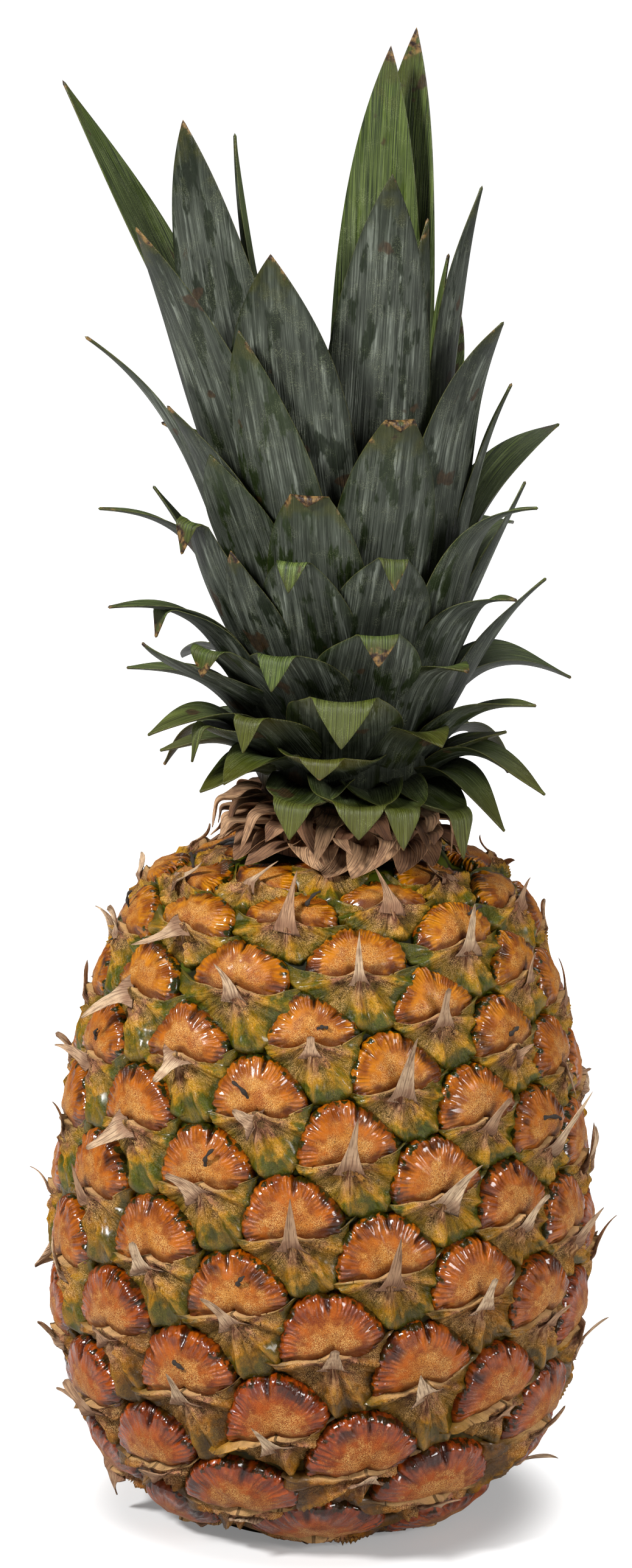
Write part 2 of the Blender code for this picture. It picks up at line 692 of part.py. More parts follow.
def crown():
    """The leafy crown on a short stem: low leaves short and bent out, high ones long and upright."""
    draw = random.Random(SEED)
    leaves = []
    for number, row in enumerate(FRONT_LEAVES):
        azimuth, foot, reach, top, lean, tip_lean, width, face, fold, narrow = row
        leaves.append(
            blade(
                f"leaf_{number}",
                math.radians(azimuth),
                (stem_radius(foot * MM) - LEAF_ROOT, foot * MM),
                (reach * MM, top * MM),
                math.radians(lean),
                math.radians(tip_lean),
                width * MM,
                LEAF_THICKNESS,
                UPRIGHT_TAPER if tip_lean < UPRIGHT_LEAN or fold else BENT_TAPER,
                face=math.radians(face),
                fold=fold * MM,
                narrow=narrow,
            )
        )
    for number in range(BACK_LEAVES):
        rise = number / (BACK_LEAVES - 1)
        azimuth = turn_between(0, LEAF_TURN * number + 0.6)
        if abs(azimuth) < BACK_FROM:
            continue
        foot = 0.0150 + 0.0430 * rise**0.9
        reach = 0.042 + 0.016 * math.sin(math.pi * rise) - 0.014 * rise**3 + draw.uniform(-0.004, 0.004)
        top = 0.012 + 0.148 * rise**1.2 + draw.uniform(-0.005, 0.005)
        leaves.append(
            blade(
                f"back_leaf_{number}",
                azimuth,
                (stem_radius(foot) - LEAF_ROOT, foot),
                (reach, top),
                math.radians(46 - 38 * rise**0.7),
                math.radians(140 * (1 - rise) ** 0.8 + draw.uniform(0, 14)),
                0.018 + 0.007 * math.sin(math.pi * rise),
                LEAF_THICKNESS,
                BENT_TAPER + (UPRIGHT_TAPER - BENT_TAPER) * rise,
                swing=draw.uniform(-0.12, 0.12),
            )
        )
    stem = turned("crown", STEM, STEM_SIDES)
    joined(stem, leaves)
    stem.data.transform(crown_place())
    return stem


def dry_collar():
    """The brown papery leaf feet round the neck, under the green leaves."""
    draw = random.Random(SEED + 1)
    bracts = []
    for number in range(COLLAR_BRACTS):
        low = number % 2
        azimuth = 2 * math.pi * (number + 0.35 * draw.random()) / COLLAR_BRACTS
        if low:
            foot = draw.uniform(0.0022, 0.0032)
            tip = (draw.uniform(0.0310, 0.0360), draw.uniform(0.0010, 0.0035))
            shape = (math.radians(60), math.radians(draw.uniform(95, 120)), draw.uniform(0.0125, 0.0160))
            hang = 0.0
        else:
            foot = draw.uniform(0.0078, 0.0088)
            tip = (draw.uniform(0.0245, 0.0275), draw.uniform(0.0088, 0.0102))
            shape = (math.radians(66), math.radians(95), draw.uniform(0.0125, 0.0150))
            hang = draw.uniform(0.0045, 0.0070)
        bracts.append(
            blade(
                f"bract_{number}",
                azimuth,
                (COLLAR_RADIUS - 0.0025, foot),
                tip,
                *shape,
                COLLAR_THICKNESS,
                UPRIGHT_TAPER,
                fold=hang,
                narrow=0.6 if hang else 0.0,
                steps=3,
            )
        )
    neck = (
        (COLLAR_RADIUS + 0.0010, COLLAR_FROM),
        (COLLAR_RADIUS, 0.0050),
        (COLLAR_RADIUS - 0.0010, COLLAR_TO),
    )
    ring = turned("dry_collar", neck, 16)
    joined(ring, bracts)
    ring.data.transform(crown_place())
    return ring


def finish(obj, surface, smooth_angle):
    obj.data.materials.clear()
    obj.data.materials.append(surface)
    obj.data.shade_smooth()
    obj.data.set_sharp_from_angle(angle=math.radians(smooth_angle))


clear_scene()
finish(fruit(Skin()), material("fruit_skin", SKIN, 0.35), 28)
finish(cut_stalk(), material("cut_wood", WOOD, 0.85), 40)
finish(dry_collar(), material("dry_paper", PAPER, 0.8), 35)
finish(crown(), material("crown_leaf", LEAF_GREEN, 0.5), 35)
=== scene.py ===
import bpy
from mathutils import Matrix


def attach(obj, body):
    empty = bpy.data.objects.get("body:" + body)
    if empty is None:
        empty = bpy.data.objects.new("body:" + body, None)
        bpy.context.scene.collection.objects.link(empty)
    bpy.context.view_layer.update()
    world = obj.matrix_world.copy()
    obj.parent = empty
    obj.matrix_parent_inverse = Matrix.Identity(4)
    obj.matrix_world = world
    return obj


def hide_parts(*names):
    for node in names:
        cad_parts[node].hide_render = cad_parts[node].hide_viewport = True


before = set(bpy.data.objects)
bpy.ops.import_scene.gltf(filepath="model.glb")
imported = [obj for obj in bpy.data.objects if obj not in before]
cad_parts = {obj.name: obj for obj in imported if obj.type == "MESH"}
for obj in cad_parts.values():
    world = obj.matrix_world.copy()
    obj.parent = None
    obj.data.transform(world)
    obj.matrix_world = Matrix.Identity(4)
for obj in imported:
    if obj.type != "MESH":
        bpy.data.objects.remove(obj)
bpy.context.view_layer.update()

import cmath
import math
import random

import bpy
import numpy as np
from mathutils import Euler, Vector
from mathutils.geometry import delaunay_2d_cdt

# Body under the eyes. The flesh of the fruit grew as one body, round and a little wider below the middle.
# What shows of it is the bottom of the grooves between the eyes: smooth waxy skin, green above and olive
# below. It stands on a flat ring, with a shallow dimple and a round hollow for the stalk inside it.
OUTLINE = (
    (0.0290, 0.0000), (0.0372, 0.0032), (0.0465, 0.0100), (0.0556, 0.0220), (0.0615, 0.0400),
    (0.0641, 0.0650), (0.0622, 0.0900), (0.0585, 0.1150), (0.0524, 0.1350), (0.0466, 0.1480),
    (0.0390, 0.1552), (0.0262, 0.1582),
)
HOLLOW = ((0.0, 0.0140), (0.0143, 0.0140), (0.0143, 0.0040), (0.0215, 0.0025), (0.0262, 0.0), (0.0282, 0.0))
BODY_LEAN = 0.0215
RELIEF = 0.0042
END_FADE = 0.003
NECK_INSIDE = 0.0095
NECK_RISE = 0.12
TUCK_BELOW = 0.08
GROUND_SEGMENTS, GROUND_RUNGS = 150, 110
GROUND_RAISED = 0.0002
GROUND_TOP = 0.1600
MM = 0.001


def spline_through(knots, steps):
    """Points of a smooth curve through the knots."""
    knots = np.array(knots)
    row = np.concatenate([[2 * knots[0] - knots[1]], knots, [2 * knots[-1] - knots[-2]]])
    points = []
    for before, start, end, after in zip(row, row[1:], row[2:], row[3:]):
        for step in range(steps):
            t = step / steps
            bend = 2 * before - 5 * start + 4 * end - after
            twist = 3 * (start - end) + after - before
            points.append(0.5 * (2 * start + (end - before) * t + bend * t * t + twist * t**3))
    points.append(row[-2])
    return np.array(points)


radii, heights = spline_through(OUTLINE, 24).T
steps = np.hypot(np.diff(radii), np.diff(heights))
arc = np.concatenate([[0], np.cumsum(steps)])
arc_end = arc[-1]
slope_r, slope_z = np.gradient(radii, arc), np.gradient(heights, arc)
slope_size = np.hypot(slope_r, slope_z)
outward_r, outward_z = slope_z / slope_size, -slope_r / slope_size
unrolled = np.concatenate([[0], np.cumsum(2 * steps / (radii[1:] + radii[:-1]))])


def on_body(angle, along, raised):
    """Points at these angles round the body and lengths up its outline, raised above the grooves."""
    inside = np.clip(along, 0, arc_end)
    fade = np.clip(np.minimum(inside, arc_end - inside) / END_FADE, 0.12, 1)
    lift = (raised - RELIEF) * fade
    over = np.clip(along - arc_end, 0, NECK_INSIDE)
    radius = np.interp(inside, arc, radii) + np.interp(inside, arc, outward_r) * lift - over
    height = np.interp(inside, arc, heights) + np.interp(inside, arc, outward_z) * lift + NECK_RISE * over
    radius = radius + np.minimum(along, 0) * TUCK_BELOW
    height = np.maximum(height, 0.0)
    return np.stack([BODY_LEAN * height + radius * np.sin(angle), -radius * np.cos(angle), height], axis=-1)


def blank(segments, rings):
    """The faces of a closed round body, and each point's way from pole to pole and turn about it."""
    bpy.ops.object.select_all(action="DESELECT")
    bpy.ops.mesh.primitive_uv_sphere_add(segments=segments, ring_count=rings, radius=1.0)
    ball = bpy.context.object
    spots = np.array([vertex.co for vertex in ball.data.vertices])
    faces = [tuple(face.vertices) for face in ball.data.polygons]
    bpy.data.objects.remove(ball, do_unlink=True)
    way = np.arccos(np.clip(spots[:, 2], -1, 1)) / math.pi
    turn = np.arctan2(spots[:, 1], spots[:, 0]) / (2 * math.pi) % 1.0
    turn[np.abs(turn - 1) < 1e-6] = 0
    return faces, way, turn


def turned_body(line, segments):
    """A closed body turned from a line of radii and heights: its faces, and its points' places."""
    line = np.array(line)
    faces, way, turn = blank(segments, len(line) - 1)
    radius, height = line[np.rint(way * (len(line) - 1)).astype(int)].T
    return faces, radius, height, 2 * math.pi * turn


def grown(name, faces, copies):
    """One object of many copies of a blank, each with its own place and its own painted values."""
    count = len(copies[0][0])
    points = np.concatenate([spots for spots, _ in copies])
    every = []
    for number in range(len(copies)):
        every += [tuple(index + count * number for index in face) for face in faces]
    mesh = bpy.data.meshes.new(name)
    mesh.from_pydata(points.tolist(), [], every)
    for value in copies[0][1]:
        painted = mesh.attributes.new(value, "FLOAT", "POINT")
        row = np.concatenate([np.broadcast_to(values[value], (count,)) for _, values in copies])
        painted.data.foreach_set("value", row.astype(np.float32))
    obj = bpy.data.objects.new(name, mesh)
    bpy.context.scene.collection.objects.link(obj)
    bpy.ops.object.select_all(action="DESELECT")
    obj.select_set(True)
    bpy.context.view_layer.objects.active = obj
    bpy.ops.object.mode_set(mode="EDIT")
    bpy.ops.mesh.select_all(action="SELECT")
    bpy.ops.mesh.normals_make_consistent(inside=False)
    bpy.ops.object.mode_set(mode="OBJECT")
    bpy.ops.object.shade_smooth()
    return obj


def seen(red, green, blue):
    """A colour as the eye sees it, on the even scale that the shaders use."""
    even = [c / 12.92 if c < 0.04045 else ((c + 0.055) / 1.055) ** 2.4 for c in (red, green, blue)]
    return tuple(even) + (1.0,)


def grey(value):
    return (value, value, value, 1.0)


SOCKETS = {
    "colour": "Base Color", "roughness": "Roughness", "normal": "Normal", "specular": "Specular IOR Level",
    "gloss": "Coat Weight", "gloss_roughness": "Coat Roughness", "emission": "Emission Color",
    "emission_strength": "Emission Strength",
}


class Nodes:
    """A shader's nodes as they are set out one by one."""

    def __init__(self, tree):
        self.tree = tree

    def node(self, kind, inputs=None, **settings):
        made = self.tree.nodes.new(kind)
        for name, value in settings.items():
            setattr(made, name, value)
        for name, value in (inputs or {}).items():
            self.put(made.inputs[name], value)
        return made

    def put(self, socket, value):
        if isinstance(value, bpy.types.NodeSocket):
            self.tree.links.new(value, socket)
        else:
            socket.default_value = value

    def painted(self, name):
        return self.node("ShaderNodeAttribute", attribute_name=name).outputs["Fac"]

    def place(self):
        return self.node("ShaderNodeTexCoord").outputs["Object"]

    def noise(self, size, detail=2.0, vector=None, rough=0.5):
        scale = {"Vector": vector or self.place(), "Scale": 1 / size, "Detail": detail, "Roughness": rough}
        return self.node("ShaderNodeTexNoise", scale).outputs["Fac"]

    def band(self, value, low, high, to_low=0.0, to_high=1.0):
        row = {"Value": value, "From Min": low, "From Max": high, "To Min": to_low, "To Max": to_high}
        return self.node("ShaderNodeMapRange", row, interpolation_type="SMOOTHSTEP").outputs["Result"]

    def maths(self, operation, first, second=0.0):
        return self.node("ShaderNodeMath", {0: first, 1: second}, operation=operation).outputs["Value"]

    def times(self, first, second):
        return self.maths("MULTIPLY", first, second)

    def plus(self, first, second):
        return self.maths("ADD", first, second)

    def mixed(self, share, first, second, blend="MIX"):
        made = self.node("ShaderNodeMix", data_type="RGBA", blend_type=blend)
        for number, value in ((0, share), (6, first), (7, second)):
            self.put(made.inputs[number], value)
        return made.outputs[2]

    def group(self, tree, **inputs):
        return self.node("ShaderNodeGroup", inputs, node_tree=tree).outputs[0]

    def lines(self, aside, across, along, drawn, seed):
        """Fibres along a leaf or scale, by how fast they change across it and along it."""
        sideways, onward = self.times(aside, across), self.times(along, drawn)
        return self.group(STREAKS, Across=sideways, Along=onward, Seed=seed)

    def smears(self, aside, across, along, drawn, seed, detail, rough):
        """Patches drawn out along a leaf."""
        place = {"X": self.times(aside, across), "Y": self.times(along, drawn), "Z": seed}
        spot = self.node("ShaderNodeCombineXYZ", place).outputs["Vector"]
        return self.noise(1.0, detail, vector=spot, rough=rough)

    def bump(self, height, distance, strength=1.0, normal=None):
        row = {"Height": height, "Distance": distance, "Strength": strength}
        made = self.node("ShaderNodeBump", row)
        if normal:
            self.put(made.inputs["Normal"], normal)
        return made.outputs["Normal"]

    def deepened(self, colour, gamma, share):
        """A darker and richer colour: raised to a power, then scaled."""
        strong = self.node("ShaderNodeGamma", {"Color": colour, "Gamma": gamma}).outputs["Color"]
        return self.mixed(1.0, strong, grey(share), blend="MULTIPLY")


class Finish(Nodes):
    """A material, with the shader that its nodes lead to."""

    def __init__(self, name):
        self.material = bpy.data.materials.new(name)
        self.material.use_nodes = True
        super().__init__(self.material.node_tree)
        self.shader = self.tree.nodes["Principled BSDF"]

    def set(self, **values):
        for name, value in values.items():
            self.put(self.shader.inputs[SOCKETS[name]], value)


def shared_effect(name, inputs, build):
    """A shader group with its own named values, for an effect that several finishes use."""
    tree = bpy.data.node_groups.new(name, "ShaderNodeTree")
    for label, value in inputs:
        socket = tree.interface.new_socket(label, in_out="INPUT", socket_type="NodeSocketFloat")
        socket.default_value = value
    tree.interface.new_socket("Mask", in_out="OUTPUT", socket_type="NodeSocketFloat")
    inside = Nodes(tree)
    given = inside.node("NodeGroupInput").outputs
    inside.node("NodeGroupOutput", {"Mask": build(inside, given)})
    return tree


def freckled(inside, given):
    """Fine dry specks: where a small noise passes a limit."""
    specks = {"Vector": inside.place(), "Scale": given["Scale"], "Detail": 1.5}
    grain = inside.node("ShaderNodeTexNoise", specks).outputs["Fac"]
    cut = {"Value": grain, "From Min": given["From"], "From Max": inside.plus(given["From"], 0.07)}
    return inside.node("ShaderNodeMapRange", cut).outputs["Result"]


def streaked(inside, given):
    """Long fine fibres: a noise that is drawn out by the lengths put in."""
    place = {"X": given["Across"], "Y": given["Along"], "Z": given["Seed"]}
    spot = inside.node("ShaderNodeCombineXYZ", place).outputs["Vector"]
    grain = inside.noise(1.0, 3.0, vector=spot)
    cut = {"Value": grain, "From Min": 0.36, "From Max": 0.64}
    return inside.node("ShaderNodeMapRange", cut).outputs["Result"]


FRECKLES = shared_effect("freckles", (("Scale", 4000.0), ("From", 0.5)), freckled)
STREAKS = shared_effect("streaks", (("Across", 0.0), ("Along", 0.0), ("Seed", 0.0)), streaked)

groove = Finish("groove_skin")
level = groove.node("ShaderNodeSeparateXYZ", {"Vector": groove.place()}).outputs["Z"]
level = groove.plus(level, groove.band(groove.noise(0.02), 0.3, 0.7, -0.02, 0.02))
green = groove.mixed(groove.band(level, 0.02, 0.14), seen(0.26, 0.19, 0.03), seen(0.25, 0.28, 0.02))
green = groove.mixed(groove.band(groove.noise(0.004), 0.42, 0.62), green, seen(0.09, 0.09, 0.01))
groove.set(colour=green, roughness=0.5, specular=0.12)

rungs = np.linspace(0.0015, arc_end + NECK_INSIDE, GROUND_RUNGS)
side_line = on_body(np.zeros(GROUND_RUNGS), rungs, np.full(GROUND_RUNGS, GROUND_RAISED))
ground_line = list(HOLLOW) + [(-y, z) for _, y, z in side_line.tolist()] + [(0.0, GROUND_TOP)]
ground_faces, around, tall, angle = turned_body(ground_line, GROUND_SEGMENTS)
ground_spots = np.stack([BODY_LEAN * tall + around * np.sin(angle), -around * np.cos(angle), tall], axis=-1)
ground = grown("fruit_ground", ground_faces, [(ground_spots, {})])
ground.data.materials.append(groove.material)
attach(ground, "root")
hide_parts("fruit")

# Eyes. Each eye is what is left of one small flower, and they wind round the fruit in spirals.
# The upper part of an eye is its sepals: three thick flaps grown into one glossy orange pillow with a
# puckered rim, drier and pale in the middle, with a notch where the flaps meet.
EYE_TURN = math.radians(137.567)
EYE_ZERO_ANGLE = math.radians(2.5)
EYE_ZERO_HEIGHT = 0.055
EYE_AREA_MIDDLE = 524.6e-6
EYE_AREA_TAPER = 0.537
EYE_NOMINAL_AREA = 520e-6
ROW_TILT = 0.177
ROW_TILT_MIDDLE = -0.058
CELL_ABOVE_FOOT = 0.0025
CORNER_ROUNDING = 0.5
BARE_RADIUS = 0.034
SIDE_POWER = 8.0
PILLOW_RADIUS = 0.0128
PILLOW_WIDE, PILLOW_TALL = 1.17, 0.99
PILLOW_REACH = 1.06
PILLOW_POWER = 9.0
SEPAL_RINGS = (0, 0.22, 0.40, 0.53, 0.63, 0.71, 0.78, 0.84, 0.885, 0.92, 0.95, 0.975, 1.0, 1.0, 0)
SEPAL_SEGMENTS = 104


def eye_area(height):
    return EYE_AREA_MIDDLE * (1 - EYE_AREA_TAPER * (height / heights[-1] - 0.5))


counts = 2 * math.pi * 0.5 * (radii[1:] + radii[:-1]) * steps / eye_area(0.5 * (heights[1:] + heights[:-1]))
counts = np.concatenate([[0], np.cumsum(counts)])


class Eye:
    """One eye's place: its angle round the body, the length up the outline of its foot, and its cell."""

    def __init__(self, index, count):
        self.index = index
        self.angle = (EYE_ZERO_ANGLE + EYE_TURN * index) % (2 * math.pi)
        inside = min(max(count, 0.0), counts[-1])
        edge = 0 if inside < counts[-1] / 2 else -1
        rate = eye_area(heights[edge]) / (2 * math.pi * radii[edge])
        along = float(np.interp(inside, counts, arc)) + rate * (count - inside)
        height, radius = np.interp(along, arc, heights), np.interp(along, arc, radii)
        middle = 2 * height / heights[-1] - 1
        self.foot = along - radius * math.sin(self.angle) * (ROW_TILT * middle + ROW_TILT_MIDDLE)
        self.radius = float(np.interp(self.foot, arc, radii))
        self.height = float(np.interp(self.foot, arc, heights))
        self.scale = math.sqrt(eye_area(self.height) / EYE_NOMINAL_AREA)
        self.centre = self.foot + CELL_ABOVE_FOOT * self.scale
        self.corners = []
        self.draw = random.Random(1000 + index)

    def local(self, angle, along):
        turn = (angle - self.angle + math.pi) % (2 * math.pi) - math.pi
        return self.radius * turn, along - self.centre

    def settle(self):
        """Puts the cell's corners in order and finds its sides."""
        self.corners.sort(key=lambda corner: math.atan2(corner[1], corner[0]))
        self.sides = []
        for (ax, ay), (bx, by) in zip(self.corners, self.corners[1:] + self.corners[:1]):
            size = math.hypot(bx - ax, by - ay)
            if size < 1e-6:
                continue
            across, upward = (by - ay) / size, (ax - bx) / size
            far = across * ax + upward * ay
            if far > 0.001:
                self.sides.append((across / far, upward / far))

    def share(self, across, upward):
        """How far out a point lies in the cell: 0 in its middle and 1 on its rounded border."""
        total = 0
        for x, y in self.sides:
            total = total + np.maximum(0, x * across + y * upward) ** SIDE_POWER
        return total ** (1 / SIDE_POWER)

    def reach(self, direction):
        return 1 / self.share(np.cos(direction), np.sin(direction))

    def pillow_reach(self, direction):
        """The way from the cell's middle to the pillow's edge: the cell's border, drawn in to a circle."""
        oval = np.hypot(np.cos(direction) / PILLOW_WIDE, np.sin(direction) / PILLOW_TALL)
        circle = PILLOW_RADIUS * self.scale / oval
        border = PILLOW_REACH * self.reach(direction)
        return (border**-PILLOW_POWER + circle**-PILLOW_POWER) ** (-1 / PILLOW_POWER)

    def on_skin(self, across, upward, raised):
        """Points of the eye, from its foot, in metres across, up and out."""
        return on_body(self.angle + across / self.radius, self.foot + upward, raised)


def beyond(values, along):
    inside = min(max(along, 0.0), arc_end)
    ends = (1, 0) if inside <= arc_end / 2 else (-1, -2)
    slope = (values[ends[0]] - values[ends[1]]) / (arc[ends[0]] - arc[ends[1]])
    return float(np.interp(inside, arc, values)) + slope * (along - inside)


zero = float(np.interp(EYE_ZERO_HEIGHT, heights, counts))
eyes = [Eye(index, zero - index) for index in range(int(zero - counts[-1]) - 14, int(zero) + 14)]
flat = [cmath.rect(math.exp(-beyond(unrolled, eye.centre)), eye.angle) for eye in eyes]
net = delaunay_2d_cdt([Vector((w.real, w.imag)) for w in flat], [], [], 0, 1e-9)
for face in net[2]:
    three = [eyes[net[3][vertex][0]] for vertex in face]
    first = three[0]
    (ax, ay), (bx, by), (cx, cy) = (first.local(eye.angle, eye.centre) for eye in three)
    twice = 2 * (ax * (by - cy) + bx * (cy - ay) + cx * (ay - by))
    a2, b2, c2 = ax * ax + ay * ay, bx * bx + by * by, cx * cx + cy * cy
    even_x = (a2 * (by - cy) + b2 * (cy - ay) + c2 * (ay - by)) / twice
    even_y = (a2 * (cx - bx) + b2 * (ax - cx) + c2 * (bx - ax)) / twice
    x = (ax + bx + cx) / 3 * (1 - CORNER_ROUNDING) + even_x * CORNER_ROUNDING
    y = (ay + by + cy) / 3 * (1 - CORNER_ROUNDING) + even_y * CORNER_ROUNDING
    for eye in three:
        eye.corners.append(eye.local(first.angle + x / first.radius, first.centre + y))
eyes = [eye for eye in eyes if -0.011 < eye.foot < arc_end + 0.004]
for eye in eyes:
    eye.settle()


def smooth(low, high, value):
    t = np.clip((value - low) / (high - low), 0, 1)
    return t * t * (3 - 2 * t)


def wing_tips(eye):
    """The ends of the bract's two wings, from the foot."""
    tips = []
    for side in (-1, 1):
        across, upward = max(eye.corners, key=lambda corner: side * corner[0])
        tips.append((1.20 * across, 1.10 * upward + eye.centre - eye.foot))
    return tips


def lip_height(eye, across):
    """How far above the foot the bract's upper edge runs, at these distances to its left and right."""
    left, right = eye.wings
    tip_x, tip_y = np.where(across < 0, -left[0], right[0]), np.where(across < 0, left[1], right[1])
    share = np.clip(np.abs(across) / tip_x, 0, 1.05)
    peak = 0.0011 * eye.scale * np.exp(-((across / (0.0022 * eye.scale)) ** 2))
    flutter = np.minimum(1, 4 * share * np.maximum(0, 1 - share))
    peak = peak + 0.0003 * np.sin(across / 0.0017 + eye.index) * flutter
    sag = 0.0007 * eye.scale * np.sin(math.pi * np.minimum(share, 1))
    return tip_y * share**1.9 + peak - sag


sepal_faces, sepal_way, sepal_turn = blank(SEPAL_SEGMENTS, len(SEPAL_RINGS) - 1)
sepal_rung = np.rint(sepal_way * (len(SEPAL_RINGS) - 1)).astype(int)
sepal_share = np.array(SEPAL_RINGS)[sepal_rung]
sepal_direction = np.radians(np.interp(sepal_turn, [0, 0.88, 1], [-25, 205, 335]))


def sepals(eye):
    """The pillow of one eye, over its whole cell: the bract covers its lower part."""
    draw, mm = eye.draw, MM * eye.scale
    way, share = sepal_direction, sepal_share
    notches = [(90 + draw.uniform(-14, 14), 5.0, draw.uniform(0.7, 1.1))]
    for side_notch in (35, 146):
        notches.append((side_notch + draw.uniform(-9, 9), 4.0, draw.uniform(0.1, 0.8)))
    phases = [draw.uniform(0, 6.28) for _ in range(6)]
    wave = np.sin(34 * way + 1.4 * np.sin(3 * way + phases[0]) + 0.9 * np.sin(7 * way + phases[1]))
    wave = wave * (0.65 + 0.35 * np.sin(5 * way + phases[2]))
    cut = sum(depth * np.exp(-((np.degrees(way) - at) / width) ** 2) for at, width, depth in notches)
    puckered = 0.995 + 0.010 * wave * smooth(0.6, 1, share) - 0.055 * cut * smooth(0.5, 1, share)
    far = share * eye.pillow_reach(way) * puckered
    across = far * np.cos(way)
    upward = far * np.sin(way) + eye.centre - eye.foot
    over = (upward - lip_height(eye, across)) / mm
    tall = draw.uniform(0.93, 1.05)
    edge = np.clip((share - 0.80) / 0.20, 0, 1)
    dome = 3.35 * np.sqrt(np.maximum(0, 1 - edge**2)) + 1.15 * np.clip(1 - (share / 0.8) ** 2, 0, 1)
    ripple = smooth(0.60, 0.84, share) * (1 - smooth(0.965, 1.0, share))
    pleats = ripple * (0.26 * wave - 1.25 * cut) + 0.04 * wave * smooth(0.25, 0.5, share) * (1 - ripple)
    dents = np.sin(3.1 * across / mm / 3 + phases[3]) * np.sin(2.6 * upward / mm / 3 + phases[4])
    raised = tall * dome + pleats + 0.22 * dents * (share < 0.95)
    raised -= 1.3 * np.exp(-((np.maximum(over, 0) / 1.4) ** 2)) * (1 - edge)
    under = smooth(0.3, 2.4, -over)
    raised = raised * (1 - under) - 0.6 * under
    raised = np.where(sepal_rung >= len(SEPAL_RINGS) - 2, -1.0, raised)
    values = {
        "rim": share, "ripple": wave * ripple, "notch": cut * smooth(0.4, 0.8, share), "over": over,
        "tone": draw.uniform(-1, 1), "level": eye.height / heights[-1], "turn": np.degrees(way) / 360,
    }
    return eye.on_skin(across, upward, raised * mm), values


for eye in eyes:
    eye.wings = wing_tips(eye)
eyes.sort(key=lambda eye: eye.foot)
halves = {"low": eyes[: len(eyes) // 2], "high": eyes[len(eyes) // 2 :]}

sepal = Finish("sepal_skin")
rim, tone, level = sepal.painted("rim"), sepal.painted("tone"), sepal.painted("level")
level = sepal.plus(level, sepal.times(tone, 0.10))
glow = sepal.mixed(sepal.band(level, 0.10, 0.60), seen(0.76, 0.39, 0.07), seen(0.86, 0.53, 0.04))
glow = sepal.mixed(sepal.band(level, 0.60, 0.98), glow, seen(0.93, 0.66, 0.06))
deep = sepal.mixed(sepal.band(level, 0.10, 0.80), seen(0.58, 0.27, 0.04), seen(0.66, 0.38, 0.03))
patches = sepal.noise(0.0035, 3.0)
pleat_way = sepal.plus(sepal.times(sepal.painted("turn"), 340.0), sepal.band(patches, 0.2, 0.8, -2.2, 2.2))
pleat = sepal.maths("SINE", pleat_way)
rim_colour = sepal.mixed(sepal.band(patches, 0.38, 0.62), deep, glow)
# Painted shade: the rim is mixed towards the deep orange in the troughs of its puckers.
rim_colour = sepal.mixed(sepal.band(sepal.painted("ripple"), -0.9, 0.6, 0.45, 0.0), rim_colour, deep)
pale = sepal.mixed(sepal.band(level, 0.0, 0.7), seen(0.74, 0.44, 0.19), seen(0.82, 0.55, 0.16))
pale = sepal.mixed(sepal.band(patches, 0.40, 0.62, 0.0, 0.85), pale, seen(0.68, 0.36, 0.04))
grain = sepal.group(FRECKLES, Scale=6500.0, From=0.49)
cloud = sepal.band(sepal.noise(0.0045, 3.0), 0.36, 0.58, 0.35, 1.0)
pale = sepal.mixed(sepal.times(grain, cloud), pale, seen(1.0, 0.87, 0.60))
grain_dark = sepal.group(FRECKLES, Scale=4200.0, From=0.56)
pale = sepal.mixed(sepal.times(grain_dark, 0.6), pale, seen(0.36, 0.18, 0.09))
reach = sepal.plus(rim, sepal.band(sepal.noise(0.0022, 3.0), 0.3, 0.7, -0.16, 0.16))
centre = sepal.plus(reach, sepal.times(sepal.painted("over"), 0.012))
skin = sepal.mixed(sepal.band(centre, 0.38, 0.74), pale, rim_colour)
stray = sepal.times(grain, sepal.band(reach, 0.6, 0.95, 0.4, 0.0))
skin = sepal.mixed(stray, skin, seen(0.88, 0.62, 0.34))
# Painted shade: the rim darkens in the furrows between its fine pleats.
furrow_shade = sepal.times(sepal.band(pleat, -1.0, 0.1, 0.30, 0.0), sepal.band(rim, 0.55, 0.80))
skin = sepal.mixed(furrow_shade, skin, deep)
over = sepal.plus(sepal.painted("over"), sepal.band(patches, 0.3, 0.7, -1.1, 1.1))
skin = sepal.mixed(sepal.band(over, 0.1, 2.6, 0.75, 0.0), skin, seen(0.46, 0.24, 0.09))
skin = sepal.mixed(sepal.band(sepal.painted("notch"), 0.25, 0.9, 0.0, 0.8), skin, seen(0.22, 0.09, 0.03))
stain = sepal.band(sepal.noise(0.008, 2.0), 0.56, 0.66, 0.0, 0.75)
skin = sepal.mixed(sepal.times(stain, sepal.band(rim, 0.5, 0.8)), skin, seen(0.24, 0.11, 0.05))
# Dark border round the pillow's edge: partly the green of the skin there, partly painted shade where the
# pillow meets the groove.
border = sepal.mixed(sepal.band(level, 0.15, 0.7), seen(0.34, 0.23, 0.03), seen(0.27, 0.28, 0.02))
skin = sepal.mixed(sepal.band(reach, 0.94, 1.03), skin, border)
relief = sepal.bump(sepal.times(pleat, sepal.band(rim, 0.52, 0.80)), 0.00016, 0.9)
relief = sepal.bump(sepal.noise(0.0006, 4.0, rough=0.65), 0.00010, normal=relief)
wax = sepal.mixed(sepal.band(rim, 0.45, 0.80), grey(0.55), grey(0.20))
sepal.set(colour=sepal.deepened(skin, 1.30, 0.62), roughness=wax, normal=relief)
sepal.set(gloss=sepal.band(rim, 0.50, 0.80, 0.05, 0.6), gloss_roughness=0.09, specular=0.2)

for half, group in halves.items():
    pillows = grown("sepals_" + half, sepal_faces, [sepals(eye) for eye in group])
    pillows.data.materials.append(sepal.material)
    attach(pillows, "root")
    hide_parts("fruit")

# Bracts. Under each eye sits the leathery scale that the flower grew behind. Its body folds down and out
# in ridges from one point, its two wings reach to the sides, and its thin upper edge lies over the eye.
# It is tan and dry near the point and turns yellow and olive green towards the grooves.
BRACT_SEGMENTS, BRACT_TOP, BRACT_RINGS = 26, 22, 60

